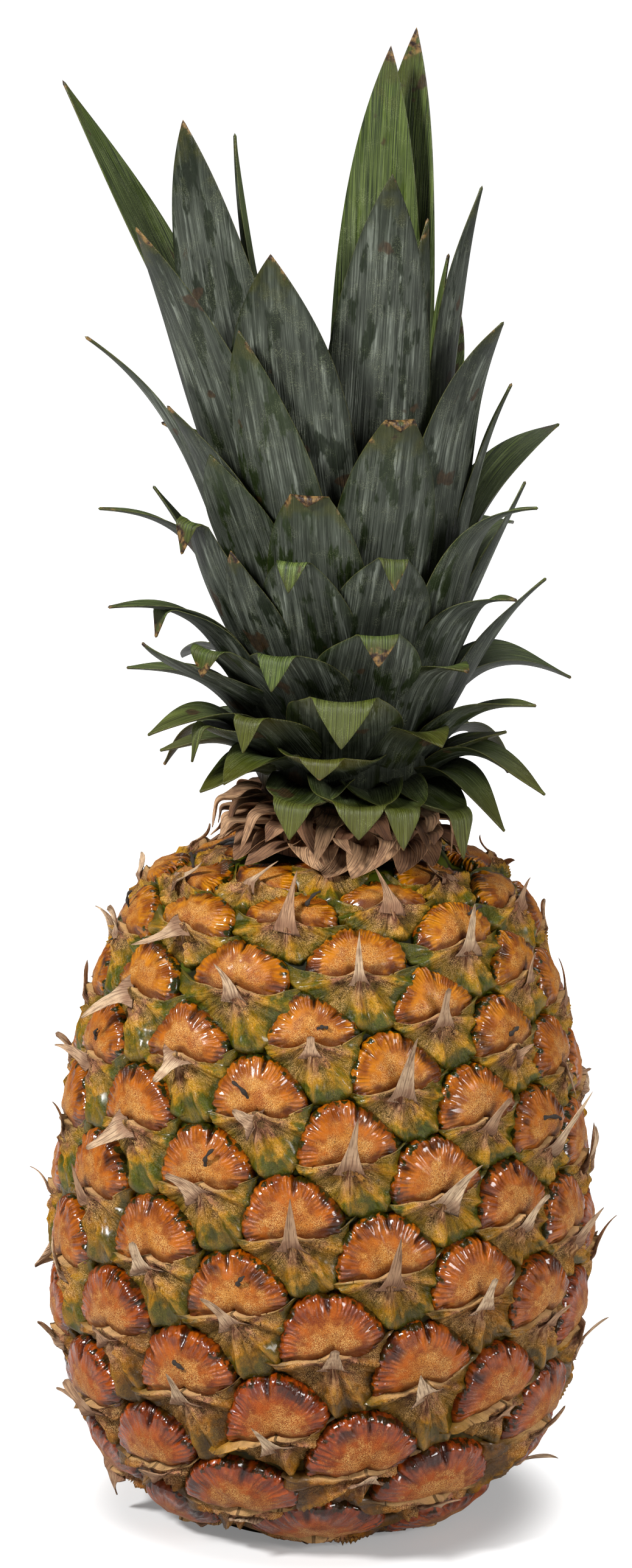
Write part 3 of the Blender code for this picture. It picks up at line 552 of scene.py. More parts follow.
bract_faces, bract_way, bract_turn = blank(BRACT_SEGMENTS, BRACT_RINGS)
bract_seg = np.rint(bract_turn * BRACT_SEGMENTS).astype(int) % BRACT_SEGMENTS
bract_down = np.interp(bract_seg, [0, BRACT_TOP - 1, BRACT_TOP, BRACT_SEGMENTS - 1], [0, 1, 1, 0])
bract_under = bract_seg >= BRACT_TOP


def folds_of(eye):
    """Directions and strengths of the ridges from the foot: one to each lower corner and one on each wing."""
    rise = eye.centre - eye.foot
    main = [math.degrees(math.atan2(y + rise, x)) for x, y in eye.corners if y + rise < -0.003]
    folds = [(angle + eye.draw.uniform(-5, 5), 1.0) for angle in main]
    folds += [(-166, 0.7), (-14, 0.7)]
    for first, second in zip(sorted(main), sorted(main)[1:]):
        folds.append((0.5 * (first + second) + eye.draw.uniform(-6, 6), eye.draw.uniform(0.35, 0.6)))
    return folds


def bract(eye):
    """One bract, from the left wing's tip to the right one's, and from its upper edge down to its hem."""
    draw, mm = eye.draw, MM * eye.scale
    left, right = eye.wings
    even = 0.5 - 0.5 * np.cos(math.pi * bract_way)
    across_lip = left[0] + (right[0] - left[0]) * (0.35 * even + 0.65 * bract_way)
    lip = lip_height(eye, across_lip)
    rise = eye.centre - eye.foot
    start = math.atan2(left[1] - rise, left[0]) % (2 * math.pi)
    end = math.atan2(right[1] - rise, right[0]) + 2 * math.pi
    way = start + (end - start) * (0.5 * bract_way + 0.5 * even)
    folds = folds_of(eye)

    def ridge(direction):
        away = [np.abs((direction - fold + 180) % 360 - 180) for fold, _ in folds]
        return np.max([size * np.exp(-turn / 10.0) for turn, (_, size) in zip(away, folds)], axis=0)

    tip = np.minimum(bract_way, 1 - bract_way)
    hem_far = eye.reach(way)
    hem_far = hem_far * (1.08 + 0.9 * np.maximum(0, hem_far / (PILLOW_RADIUS * eye.scale) - 0.97))
    blend = smooth(0.0, 0.10, tip)
    left_far, right_far = (math.hypot(wing[0], wing[1] - rise) for wing in (left, right))
    tip_far = np.where(bract_way < 0.5, left_far, right_far)
    hem_far = tip_far + (hem_far - tip_far) * blend
    ruffle = np.sin(22 * way + draw.uniform(0, 6)) + np.sin(37 * way + draw.uniform(0, 6))
    hem_far = hem_far * (1 + 0.012 * ruffle * blend)
    hem_x, hem_y = hem_far * np.cos(way), hem_far * np.sin(way) + rise
    across = across_lip + (hem_x - across_lip) * bract_down
    upward = lip + (hem_y - lip) * bract_down
    far = np.hypot(across, upward * 1.1) / mm
    facing = np.degrees(np.arctan2(upward, across))
    facing = np.where(upward > 0, np.where(across < 0, -180, 0), facing)
    fold = ridge(facing)
    phase, other = draw.uniform(0, 6.28), draw.uniform(0, 6.28)
    turned = np.radians(facing)
    ripple = 1 - 2 * np.abs(np.sin(turned * 11 + 1.6 * np.sin(turned * 5 + phase) + 0.12 * far))
    ripple = ripple + 0.5 * np.sin(turned * 41 + 3 * np.sin(turned * 3 + other) + 0.2 * far)
    ripple = ripple + 0.7 * np.sin(far / 1.3 + 2.5 * np.sin(turned * 6 + other)) * smooth(3.0, 8.0, far)
    down = bract_down
    edge = np.clip((down - 0.88) / 0.12, 0, 1)
    body = 3.7 - 0.9 * down - 0.9 * down**2
    body += 1.2 * np.exp(-((far / 2.8) ** 2))
    body += (4.0 * fold - 2.1) * smooth(1.5, 6.0, far) * (1 - 0.15 * down)
    body += 0.30 * ripple * smooth(1.0, 3.5, far) * (1 - 0.3 * down)
    body = (body + 0.5) * np.sqrt(np.maximum(0, 1 - edge**2)) - 0.5
    body -= 1.3 * (1 - smooth(0.0, 0.13, tip))
    body += 0.35 * np.exp(-((down / 0.06) ** 2)) * smooth(0.0, 0.1, tip)
    raised = np.where(bract_under, -0.9, body)
    values = {
        "far": far, "fold": fold, "facing": turned, "down": down, "tone": draw.uniform(-1, 1),
        "level": eye.height / heights[-1], "seed": float(eye.index),
    }
    return eye.on_skin(across, upward, raised * mm), values


scale = Finish("bract_skin")
tone, level, down, far = (scale.painted(name) for name in ("tone", "level", "down", "far"))
fold, facing = scale.painted("fold"), scale.painted("facing")
level = scale.plus(level, scale.times(tone, 0.12))
spread = scale.plus(far, scale.band(scale.noise(0.0030, 4.0), 0.3, 0.7, -2.2, 2.2))
hem = scale.mixed(scale.band(level, 0.10, 0.70), seen(0.50, 0.36, 0.06), seen(0.43, 0.46, 0.04))
middle = scale.mixed(scale.band(level, 0.10, 0.75), seen(0.70, 0.48, 0.16), seen(0.84, 0.66, 0.11))
dry_patches = scale.band(scale.noise(0.0016, 3.0), 0.4, 0.65)
dry = scale.mixed(dry_patches, seen(0.78, 0.58, 0.48), seen(0.47, 0.29, 0.25))
skin = scale.mixed(scale.band(spread, 4.5, 10.0), dry, middle)
skin = scale.mixed(scale.band(spread, 9.0, 13.0), skin, hem)
blotch = scale.band(scale.noise(0.0055, 3.0), 0.50, 0.62, 0.0, 0.45)
yellow = scale.mixed(scale.band(level, 0.1, 0.8), seen(0.74, 0.50, 0.08), seen(0.84, 0.66, 0.07))
skin = scale.mixed(blotch, skin, yellow)
# A darker colour, laid in random patches as the scale's own tone, and used again below as painted shade in
# the fold valleys.
dark_tone_and_shade = scale.mixed(scale.band(level, 0.1, 0.7), seen(0.36, 0.23, 0.07), seen(0.35, 0.36, 0.04))
skin = scale.mixed(scale.band(scale.noise(0.0042, 3.0), 0.54, 0.66, 0.0, 0.5), skin, dark_tone_and_shade)
fibres = scale.lines(facing, 9.0, far, 0.22, scale.painted("seed"))
dark_lines = scale.times(scale.band(fibres, 0.62, 0.95), scale.band(spread, 2.0, 11.0, 0.8, 0.12))
skin = scale.mixed(dark_lines, skin, seen(0.29, 0.16, 0.11))
# The fold valleys take the darker colour: partly their own greener tone, partly painted shade.
valley_shade = scale.times(scale.band(fold, 0.16, 0.55, 0.55, 0.0), scale.band(far, 3.0, 7.0))
skin = scale.mixed(valley_shade, skin, dark_tone_and_shade)
# The fold crests lighten to yellow: partly their own colour, partly a painted highlight.
crest_colour_and_highlight = scale.times(scale.band(fold, 0.65, 0.95, 0.0, 0.5), scale.band(far, 3.0, 6.0))
skin = scale.mixed(crest_colour_and_highlight, skin, seen(0.86, 0.66, 0.18))
cloud = scale.band(scale.noise(0.004, 3.0), 0.36, 0.58, 0.3, 1.0)
grain = scale.times(scale.group(FRECKLES, Scale=6000.0, From=0.50), cloud)
dust = scale.times(grain, scale.band(spread, 7.0, 13.0, 0.8, 0.15))
skin = scale.mixed(dust, skin, seen(1.0, 0.85, 0.62))
grain_dark = scale.group(FRECKLES, Scale=3800.0, From=0.57)
skin = scale.mixed(scale.times(grain_dark, 0.35), skin, seen(0.30, 0.17, 0.09))
# The hem darkens to deep green near its edge: partly its own colour, partly painted shade where it meets the
# groove.
skin = scale.mixed(scale.band(down, 0.84, 0.98, 0.0, 0.6), skin, seen(0.24, 0.25, 0.03))
straight = scale.maths("ABSOLUTE", scale.plus(facing, 1.5708))
tail = scale.times(scale.band(straight, 0.08, 0.42, 0.85, 0.0), scale.band(far, 3.0, 9.5, 1.0, 0.0))
tail_colour = scale.mixed(scale.band(fibres, 0.2, 0.8), seen(0.86, 0.72, 0.58), seen(0.56, 0.38, 0.30))
skin = scale.mixed(tail, skin, tail_colour)
edge = scale.times(scale.band(down, 0.0, 0.055, 0.65, 0.0), scale.band(far, 8.0, 14.0, 1.0, 0.2))
skin = scale.mixed(edge, skin, seen(0.94, 0.80, 0.60))
relief = scale.bump(fibres, 0.0004, 1.0)
relief = scale.bump(scale.noise(0.0005, 4.0, rough=0.65), 0.00012, normal=relief)
matt = scale.mixed(scale.band(spread, 5.0, 11.0), grey(0.75), grey(0.35))
scale.set(colour=scale.deepened(skin, 1.40, 0.62), roughness=matt, normal=relief)
scale.set(gloss=scale.band(spread, 9.0, 13.5, 0.0, 0.35), gloss_roughness=0.2, specular=0.15)

for half, group in halves.items():
    scales = grown("bracts_" + half, bract_faces, [bract(eye) for eye in group])
    scales.data.materials.append(scale.material)
    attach(scales, "root")
    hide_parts("fruit")

# Bract points. The middle of every bract runs out into a dry papery point over the eye. Most stand up and
# out, and on a fruit that was handled many are bent, curled, hanging or broken off short.
POINT_SEGMENTS, POINT_RINGS = 12, 20
# Points of the eyes in front, by the eye's number: length in millimetres, lean to the right in degrees,
# bend in radians, how broad it is, and its taper: 1 ends in a tip and less ends blunt, as broken off
POSED = {
    -84: (12, 20, 0.7, 2.6, 1), -76: (15, 2, 0.15, 3.8, 1), -81: (13, 5, -0.7, 3.6, 1),
    -71: (15, -150, 0.2, 4.2, 1), -68: (14, -3, 0, 2.6, 1), -73: (12, 3, 0.15, 4.0, 0.9),
    -78: (10, 35, 0.9, 3.0, 1), -63: (10, -4, -0.9, 3.6, 1), -60: (11, -4, 0, 3.4, 0.62),
    -65: (8, -2, 0.2, 3.0, 0.8), -55: (5, 0, 0, 3.4, 0.6), -50: (9, -160, 0, 4.4, 0.8),
    -58: (15, -125, -0.6, 4.2, 0.9), -47: (18, 4, 0, 4.2, 1), -52: (5, 55, 0.3, 2.6, 0.9),
    -42: (6, -65, 0.3, 4, 0.8), -34: (16, 3, 0.05, 3.8, 1), -37: (12, -140, 0.2, 4.6, 0.85),
    -39: (10, 18, 0.15, 2.8, 0.6), -29: (9, -30, -0.8, 4.2, 0.7), -31: (16, 22, 0.1, 3.2, 1),
    -45: (11, -60, -0.8, 3, 0.9), -26: (14, 22, 0.25, 4.4, 1), -21: (15, 0, 0.05, 3.6, 1),
    -18: (10, 16, 0.1, 2.6, 0.6), -16: (8, -20, 0.5, 4.2, 0.7), -24: (10, -30, 1, 3.6, 0.9),
    -13: (15, 0, 0, 3.8, 1), -8: (11, -22, -0.4, 3.2, 0.9), -5: (10, -2, 0, 3.6, 0.7),
    0: (8, 2, 0, 3.8, 0.6), -3: (5, -30, 0.4, 4.2, 0.7), 8: (10, -30, 0.1, 4.6, 1),
    5: (12, -6, 0.3, 3.2, 1), 16: (5, 5, 0, 3.4, 0.7), 13: (12, -22, 0.05, 3.4, 1),
    21: (13, -2, 0, 3.8, 1), 3: (7, 10, 0.4, 2.8, 0.9), 18: (5, -40, 0.4, 3.6, 0.8),
    26: (4, 0, 0, 3.4, 0.8), 29: (9, 10, 0.2, 3, 0.9),
}

point_faces, point_way, point_turn = blank(POINT_SEGMENTS, POINT_RINGS)


def on_eye(eye, spots):
    """Points given across, up and out from an eye's foot, put on the fruit."""
    placed = np.array(eye.on_skin(0.0, 0.0, RELIEF)).reshape(3)
    ahead = np.array(eye.on_skin(0.0, 0.0005, RELIEF)).reshape(3)
    up_axis = (ahead - placed) / np.linalg.norm(ahead - placed)
    side_axis = np.array([math.cos(eye.angle), math.sin(eye.angle), 0.0])
    out_axis = np.cross(side_axis, up_axis)
    world = placed + spots[:, :1] * side_axis + spots[:, 1:2] * up_axis + (spots[:, 2:] - RELIEF) * out_axis
    world[:, 2] = np.maximum(world[:, 2], 0.0004)
    return world


def way_of(heading, tilt):
    """Unit steps across, up and out, turned from straight up by the heading and out by the tilt."""
    return np.stack([np.cos(tilt) * np.sin(heading), np.cos(tilt) * np.cos(heading), np.sin(tilt)], axis=-1)


def strip(long, lean, curl, out, hook, twist, half, thick, cup):
    """A narrow piece that starts at the origin and bends: its points across, up and out."""
    t = point_way
    angle = 2 * math.pi * point_turn
    grid = np.linspace(0, 1, 61)
    path = way_of(lean + curl * grid, out + hook * grid**2 * 1.6)
    path = np.concatenate([[np.zeros(3)], np.cumsum(path, axis=0)[:-1]]) * long / 60
    centre = np.stack([np.interp(t, grid, path[:, axis]) for axis in range(3)], axis=-1)
    heading = lean + curl * t
    forward = way_of(heading, out + hook * t * t * 1.6)
    aside = np.stack([np.cos(heading), -np.sin(heading), np.zeros_like(t)], axis=-1)
    roll = (twist * t**1.5)[:, None]
    side = aside * np.cos(roll) + np.cross(aside, forward) * np.sin(roll)
    face = np.cross(side, forward)
    lift = np.sin(angle) * thick + cup * np.cos(angle) ** 2 * half
    return centre + side * (np.cos(angle) * half)[:, None] + face * lift[:, None]


def bract_point(eye):
    """One dry point. Those of the eyes in front stand as in POSED, and the others are drawn at random."""
    draw = random.Random(3000 + eye.index)
    mm = MM * eye.scale
    t = point_way
    lean = math.radians(draw.gauss(0, 22))
    curl = draw.gauss(0, 0.6)
    wide = draw.uniform(3.0, 4.2)
    long = draw.uniform(7.5, 12.0)
    keep = draw.choice((1, 1, 1, 0.9, 0.7))
    out = math.radians(draw.uniform(8, 34))
    hook = draw.uniform(-0.5, 0.8)
    twist = draw.gauss(0, 0.7)
    ragged = draw.uniform(0, 6.28)
    if draw.random() < 0.18:
        lean += math.radians(draw.choice((-120, 130)))
    if eye.index in POSED:
        long, lean, curl, wide, keep = POSED[eye.index]
        lean = math.radians(lean)
        out = math.radians(draw.uniform(24, 34))
        hook = draw.uniform(-0.2, 0.3)
        twist = 0.5 * twist
    room = smooth(BARE_RADIUS, BARE_RADIUS + 0.012, eye.radius)
    long *= 0.45 + 0.55 * room if eye.height < 0.1 else 0.8 + 0.2 * room
    long *= min(1.0, max(0.3, eye.height / 0.014)) * mm * (1.12 if math.cos(lean) > 0 else 1.0)
    width = wide * mm * (0.52 * (1 - keep * t) ** 0.85 + 0.72 * (1 - t) ** 6)
    half = np.where(t > 0.999, 0, width * (1 + 0.10 * np.sin(9 * t + ragged)))
    spots = strip(long, lean, curl, out, hook, twist, half, (0.26 - 0.14 * t) * mm, 0.32)
    spots += np.array([0, -1.3 - 1.7 * math.cos(lean), 3.6 + 0.4 * (1 - math.cos(lean))]) * mm
    spots[:, 2] -= 2.2 * mm * np.maximum(0, 1 - t / 0.14) ** 1.5
    values = {
        "way": t, "aside": np.cos(2 * math.pi * point_turn) * half / mm, "tone": draw.uniform(-1, 1),
        "seed": float(eye.index),
    }
    return on_eye(eye, spots), values


point = Finish("dry_point")
way = point.painted("way")
fibres = point.lines(point.painted("aside"), 2.8, way, 2.2, point.painted("seed"))
paper = point.mixed(point.band(point.painted("tone"), -1, 1), seen(0.66, 0.52, 0.40), seen(0.82, 0.71, 0.58))
paper = point.mixed(point.band(point.noise(0.0022, 3.0), 0.45, 0.7, 0.0, 0.55), paper, seen(0.52, 0.37, 0.27))
paper = point.mixed(point.band(fibres, 0.50, 0.95, 0.0, 0.6), paper, seen(0.32, 0.22, 0.16))
paper = point.mixed(point.band(way, 0.80, 1.0, 0.0, 0.55), paper, seen(0.28, 0.18, 0.11))
paper = point.mixed(point.band(way, 0.12, 0.30, 0.6, 0.0), paper, seen(0.48, 0.33, 0.25))
point.set(colour=paper, roughness=0.8, normal=point.bump(fibres, 0.0003, 0.9), specular=0.2)

pointed = [eye for eye in eyes if 0.005 < eye.foot < arc_end - 0.002]
points = grown("bract_points", point_faces, [bract_point(eye) for eye in pointed])
points.data.materials.append(point.material)
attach(points, "root")
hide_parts("fruit")

# Withered flowers. The dried remains of a flower, a thin black curled thread, are left over some eyes.
# They grew from the middle of the eye, just above the bract's edge, and most have dropped off.
# For each: the eye's number, across and up from its foot in millimetres, length, lean in degrees, and bend
# in radians. The first twelve are on the side in front.
WITHERED = (
    (-79, -3, 5, 7, -50, -0.6), (-66, -1, 5, 6, -25, 1.4), (-76, 4, 5, 6, 35, 0.3),
    (-42, -2, 3.5, 7, -10, -1.1), (-29, 1.0, 5, 6, 10, 0.7), (5, -2, 7, 4, 60, 1.5),
    (-45, 2, 4, 4, -20, 1.2), (-73, 4, 7, 5, 60, 0.4), (-31, -3, 6, 7, 80, 0.8),
    (-52, -1, 3, 4, 30, 1.0), (-55, 1.5, 4, 3, 50, 1.2), (-8, 1, 7, 4, 10, 0.8),
    (12, 1, 5, 6, 20, 1.0), (-6, 0, 5, 6, -30, 1.1), (-30, 1, 5, 5, 40, -1.0),
    (-62, -1, 4, 6, 0, 1.3), (-22, 0, 5, 5, -40, 1.2), (-48, 2, 5, 5, 20, -1.1),
)


def withered(index, across, upward, long, lean, curl):
    """One thread, round and knobbly, that bends over from the eye's middle."""
    eye = next(eye for eye in eyes if eye.index == index)
    mm = MM * eye.scale
    half = 0.55 * mm * (1 - 0.35 * point_way) * (1 + 0.35 * np.sin(14 * point_way + index))
    half = np.where((point_way < 0.001) | (point_way > 0.999), 0, half)
    spots = strip(long * mm, math.radians(lean), curl, 0.75, -0.9, 0.6, half, half * 0.8, 0.0)
    return on_eye(eye, spots + np.array([across, upward, 3.6]) * mm), {}


charred = Finish("withered_flower")
crust = charred.noise(0.0006, 3.0)
black = charred.mixed(crust, seen(0.05, 0.04, 0.03), seen(0.20, 0.15, 0.11))
charred.set(colour=black, roughness=0.85, normal=charred.bump(crust, 0.0003))
threads = grown("withered_flowers", point_faces, [withered(*row) for row in WITHERED])
threads.data.materials.append(charred.material)
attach(threads, "root")
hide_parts("fruit")

# Cut stalk. The woody stem that the fruit grew on is sawn off level with the base, inside its hollow.
# It is a plain solid of pale fibrous wood, with a rounded cut edge.
wood = Finish("cut_wood_fibre")
upright = wood.node("ShaderNodeVectorMath", {0: wood.place(), 1: (1, 1, 0.15)}, operation="MULTIPLY")
fibre = wood.noise(0.0006, 3.0, vector=upright.outputs["Vector"])
sawn = wood.mixed(wood.band(fibre, 0.35, 0.65), seen(0.55, 0.43, 0.28), seen(0.76, 0.66, 0.46))
wood.set(colour=sawn, roughness=0.85, normal=wood.bump(fibre, 0.0003))
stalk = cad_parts["cut_stalk"]
stalk.data.materials.clear()
stalk.data.materials.append(wood.material)

# Crown. A tuft of leaves on a short stem that grew on through the top of the fruit. The leaves stand in
# spirals: short and bent out at the foot, long and upright in the middle. They are stiff, channelled,
# dark green under a grey-white powder that rubs off, with fine teeth and dry brown tips.
CROWN_FOOT = np.array((0.0060, 0.0, 0.1590))
CROWN_LEAN = math.radians(2.7)
STEM = (
    (0.0185, 0.0130), (0.0225, 0.0200), (0.0230, 0.0320), (0.0195, 0.0520), (0.0130, 0.0720),
    (0.0060, 0.0880),
)
LEAF_THICKNESS = 0.0016
LEAF_ROOT = 0.0030
STEM_SEGMENTS = 28
BACK_LEAVES = 36
BACK_FROM = math.radians(98)
LEAF_TURN = math.radians(-137.5)
LEAF_SEGMENTS, LEAF_RINGS = 22, 52
UPRIGHT_LEAN = 40
UPRIGHT_TAPER, BENT_TAPER = 4.6, 2.7
FOLD_HANG = math.radians(168)
# Azimuth, height of the foot, reach and height of the tip, lean at the foot and at the tip, width, turn of
# the broad side, length of a folded-over tip and its width as a share of the leaf's, how dry the tip is
LEAVES = (
    (-113, 52, 78.4, 170.3, 20, 34, 23, 0, 0, 0, 0.35), (-88, 50, 43.5, 165.8, 14, 10, 30, 50, 0, 0, 0.4),
    (-65, 44, 57.9, 143.9, 18, 32, 28, 15, 0, 0, 0.4), (-35, 48, 39.0, 140.3, 12, 8, 32, 15, 0, 0, 0.5),
    (-43, 43, 42.0, 122.8, 14, 16, 27, 0, 0, 0, 0.4), (9, 54, 24.0, 158.3, 6, 4, 26, 0, 0, 0, 0.3),
    (152, 58, 17.7, 187.5, 4, 5, 22, 0, 0, 0, 0.7), (165, 58, 10.0, 183.6, 2, 4, 22, 0, 0, 0, 0.4),
    (60, 56, 14.4, 146.9, 4, 4, 16, 0, 0, 0, 0.5), (80, 52, 24.8, 154.5, 6, 14, 15, -15, 0, 0, 0.3),
    (103, 52, 18.4, 137.8, 5, 8, 12, 0, 0, 0, 0.3), (60, 44, 35.1, 125.8, 14, 34, 23, -10, 0, 0, 0.3),
    (85, 40, 33.7, 109.9, 14, 24, 15, 0, 0, 0, 0.3), (-76, 40, 65.1, 117.8, 24, 58, 18, 0, 0, 0, 0.5),
    (-60, 38, 50.7, 104.5, 20, 44, 24, 10, 0, 0, 0.4), (-55, 38, 41.4, 93.7, 15, 24, 24, 15, 0, 0, 0.2),
    (14, 42, 33.0, 104.1, 12, 12, 25, 0, 3, 0.3, 1), (-18, 37, 37.0, 86.9, 18, 12, 26, 0, 3, 0.35, 1),
    (-20, 31, 41.0, 71.9, 20, 30, 25, 0, 8, 0.35, 0.1), (11, 32, 41.0, 73.9, 18, 30, 26, 0, 8, 0.3, 1),
    (7, 26, 44.0, 57.3, 24, 40, 26, 0, 8, 0.4, 1), (-22, 24, 44.0, 51.2, 25, 60, 26, 0, 9, 0.4, 0.2),
    (-2, 20, 45.0, 42.2, 28, 50, 27, 0, 12, 0.6, 0.1), (37, 23, 43.6, 49.0, 32, 95, 24, 0, 0, 0, 0.3),
    (-34, 18.5, 38.6, 35.1, 36, 62, 23, 0, 9, 0.4, 0.1), (32, 18, 40.1, 31.4, 38, 110, 23, 0, 0, 0, 0.2),
    (-8, 16.5, 42.0, 28.4, 40, 60, 25, 0, 5, 0.45, 0.3), (-44, 16.5, 39.8, 19.3, 42, 120, 18, 0, 0, 0, 0.1),
    (-19, 14.5, 34.0, 16.1, 55, 80, 20, 0, 9, 0.55, 0.3), (5, 14.5, 36.0, 16.8, 55, 80, 22, 0, 8, 0.6, 0.2),
    (20, 14.5, 36.0, 16.2, 55, 85, 20, 0, 10, 0.5, 0.3), (42, 14.5, 36.6, 15.0, 55, 85, 18, 0, 12, 0.5, 0.2),
    (-72, 32, 61.6, 79.4, 26, 88, 17, 0, 0, 0, 0.4), (-66, 28, 60.6, 58.0, 30, 95, 17, 0, 0, 0, 0.3),
    (-80, 23, 51.8, 41.2, 36, 92, 17, 0, 0, 0, 0.3), (-54, 26, 58.3, 52.2, 32, 48, 20, 0, 0, 0, 0.5),
    (-60, 20, 52.2, 29.3, 40, 112, 17, 0, 0, 0, 0.3), (-55, 20, 38.9, 31.0, 36, 60, 18, 0, 10, 0.3, 0.3),
    (-80, 17, 43.3, 21.9, 42, 105, 16, 0, 0, 0, 0.2), (-60, 15.5, 38.1, 15.2, 46, 112, 17, 0, 0, 0, 0.2),
    (-58, 31, 43.1, 77.0, 24, 20, 22, 0, 9, 0.5, 1), (-42, 30, 42.2, 73.4, 22, 20, 17, 0, 0, 0, 0.8),
    (-66, 26, 45.6, 57.0, 34, 70, 18, 0, 8, 0.5, 0.8), (-46, 24, 43.9, 49.9, 34, 60, 20, 0, 7, 0.6, 0.8),
    (-95, 34, 47.1, 81.3, 24, 40, 16, 0, 0, 0, 0.3), (-120, 42, 48.5, 105.5, 18, 20, 24, 30, 0, 0, 1),
    (56, 33, 48.3, 85.5, 22, 82, 20, 0, 0, 0, 0.4), (78, 38, 38.5, 88.4, 20, 22, 11, 0, 0, 0, 0.3),
    (50, 28, 47.4, 65.0, 26, 88, 23, 0, 0, 0, 0.5), (74, 26, 45.2, 67.1, 28, 48, 16, 0, 0, 0, 0.3),
    (58, 21, 49.7, 40.3, 36, 86, 19, 0, 0, 0, 0.4), (82, 18, 37.1, 29.6, 42, 70, 14, 0, 0, 0, 0.3),
    (68, 17, 49.3, 18.0, 44, 122, 16, 0, 0, 0, 0.2), (60, 15, 42.5, 9.7, 46, 135, 15, 0, 0, 0, 0.2),
)

leaf_faces, leaf_way, leaf_turn = blank(LEAF_SEGMENTS, LEAF_RINGS)
leaf_way = 1 - (1 - leaf_way) ** 1.25
crown_turn = np.array(Euler((0, CROWN_LEAN, 0)).to_matrix())


def in_crown(spots):
    return spots @ crown_turn.T + CROWN_FOOT


def leaf_line(start, end, lean, tip_lean, fold):
    """Points along a leaf's middle line in its upright plane, and where its folded tip begins."""
    start, end = np.array(start), np.array(end)
    size = np.linalg.norm(end - start)
    bow = min(1.0, max(0.0, (tip_lean - math.radians(60)) / math.radians(100)))
    first = start + np.array((math.sin(lean), math.cos(lean))) * size * (0.42 + 0.18 * bow)
    last = end - np.array((math.sin(tip_lean), math.cos(tip_lean))) * size * (0.33 + 0.42 * bow)
    t = np.linspace(0, 1, 61)[:, None]
    u = 1 - t
    line = start * u**3 + first * 3 * u * u * t + last * 3 * u * t * t + end * t**3
    begins = 1.0
    if fold:
        turn = np.concatenate([np.linspace(tip_lean, FOLD_HANG, 12), np.full(28, FOLD_HANG)])
        step = np.stack([np.sin(turn), np.cos(turn)], axis=-1) * fold / 40
        line = np.concatenate([line, line[-1] + np.cumsum(step, axis=0)])
    gaps = np.linalg.norm(np.diff(line, axis=0), axis=1)
    along = np.concatenate([[0], np.cumsum(gaps)])
    if fold:
        begins = 1 - fold / along[-1]
    return line, along, begins


def leaf(number, azimuth, foot, tip, lean, tip_lean, width, thickness, taper, **more):
    """One channelled leaf, with the values that its finish needs painted on it."""
    draw = random.Random(500 + number)
    swing, face, fold = more.get("swing", 0.0), more.get("face", 0.0), more.get("fold", 0.0)
    narrow, dry, crumple = more.get("narrow", 0.0), more.get("dry", 0.0), more.get("crumple", 0.0)
    line, along, begins = leaf_line(foot, tip, lean, tip_lean, fold)
    long = along[-1]
    t = leaf_way

    def at(share):
        return np.stack([np.interp(share * long, along, line[:, axis]) for axis in range(2)], axis=-1)

    spot = at(t)
    course = at(np.minimum(t + 0.012, 1)) - at(np.maximum(t - 0.012, 0))
    course = course / np.linalg.norm(course, axis=1)[:, None]
    turn = azimuth + swing * t * t
    out = np.stack([np.sin(turn), -np.cos(turn), np.zeros_like(t)], axis=-1)
    side = np.stack([np.cos(turn + face), np.sin(turn + face), np.zeros_like(t)], axis=-1)
    inward = np.cross(out * course[:, :1] + np.array([0, 0, 1.0]) * course[:, 1:], side)
    inward /= np.linalg.norm(inward, axis=1)[:, None]
    body = np.clip(t / begins, 0, 1)
    half = narrow + (1 - narrow) * (1 - body**taper)
    if fold:
        half = np.where(t < begins, half, narrow * (1 - (t - begins) / (1 - begins)) ** 0.9)
    half = width / 2 * half * (0.5 + 0.5 * np.minimum(1, body / 0.35))
    angle = 2 * math.pi * leaf_turn
    aside = -np.cos(angle)
    teeth = 1 + 0.010 * np.sin(2 * math.pi * 23 * t) * (np.abs(aside) > 0.99)
    cup = half * (0.50 - 0.38 * t) * aside**2
    thick = thickness * (1 - 0.5 * t) / 2 * np.sqrt(np.maximum(0, 1 - aside**2)) * np.sign(np.sin(angle))
    wave = half * (0.05 + crumple) * np.sin((9 + 20 * crumple) * t + draw.uniform(0, 6)) * aside
    wave = wave + crumple * half * 0.8 * np.sin(7 * aside + 5 * t + draw.uniform(0, 6)) * t
    centre = out * spot[:, :1] + np.array([0, 0, 1.0]) * spot[:, 1:]
    spots = centre + side * (half * aside * teeth)[:, None] + inward * (cup + thick + wave)[:, None]
    values = {
        "way": t, "aside": aside * half / MM, "edge": np.abs(aside), "along": t * long / MM,
        "seed": float(number), "tone": draw.uniform(-1, 1), "dry": dry,
        "inner": (np.sin(angle) > 0).astype(float), "low": foot[1] / 0.06,
    }
    return in_crown(spots), values


def stem_radius(height):
    return float(np.interp(height, [z for _, z in STEM], [r for r, _ in STEM]))


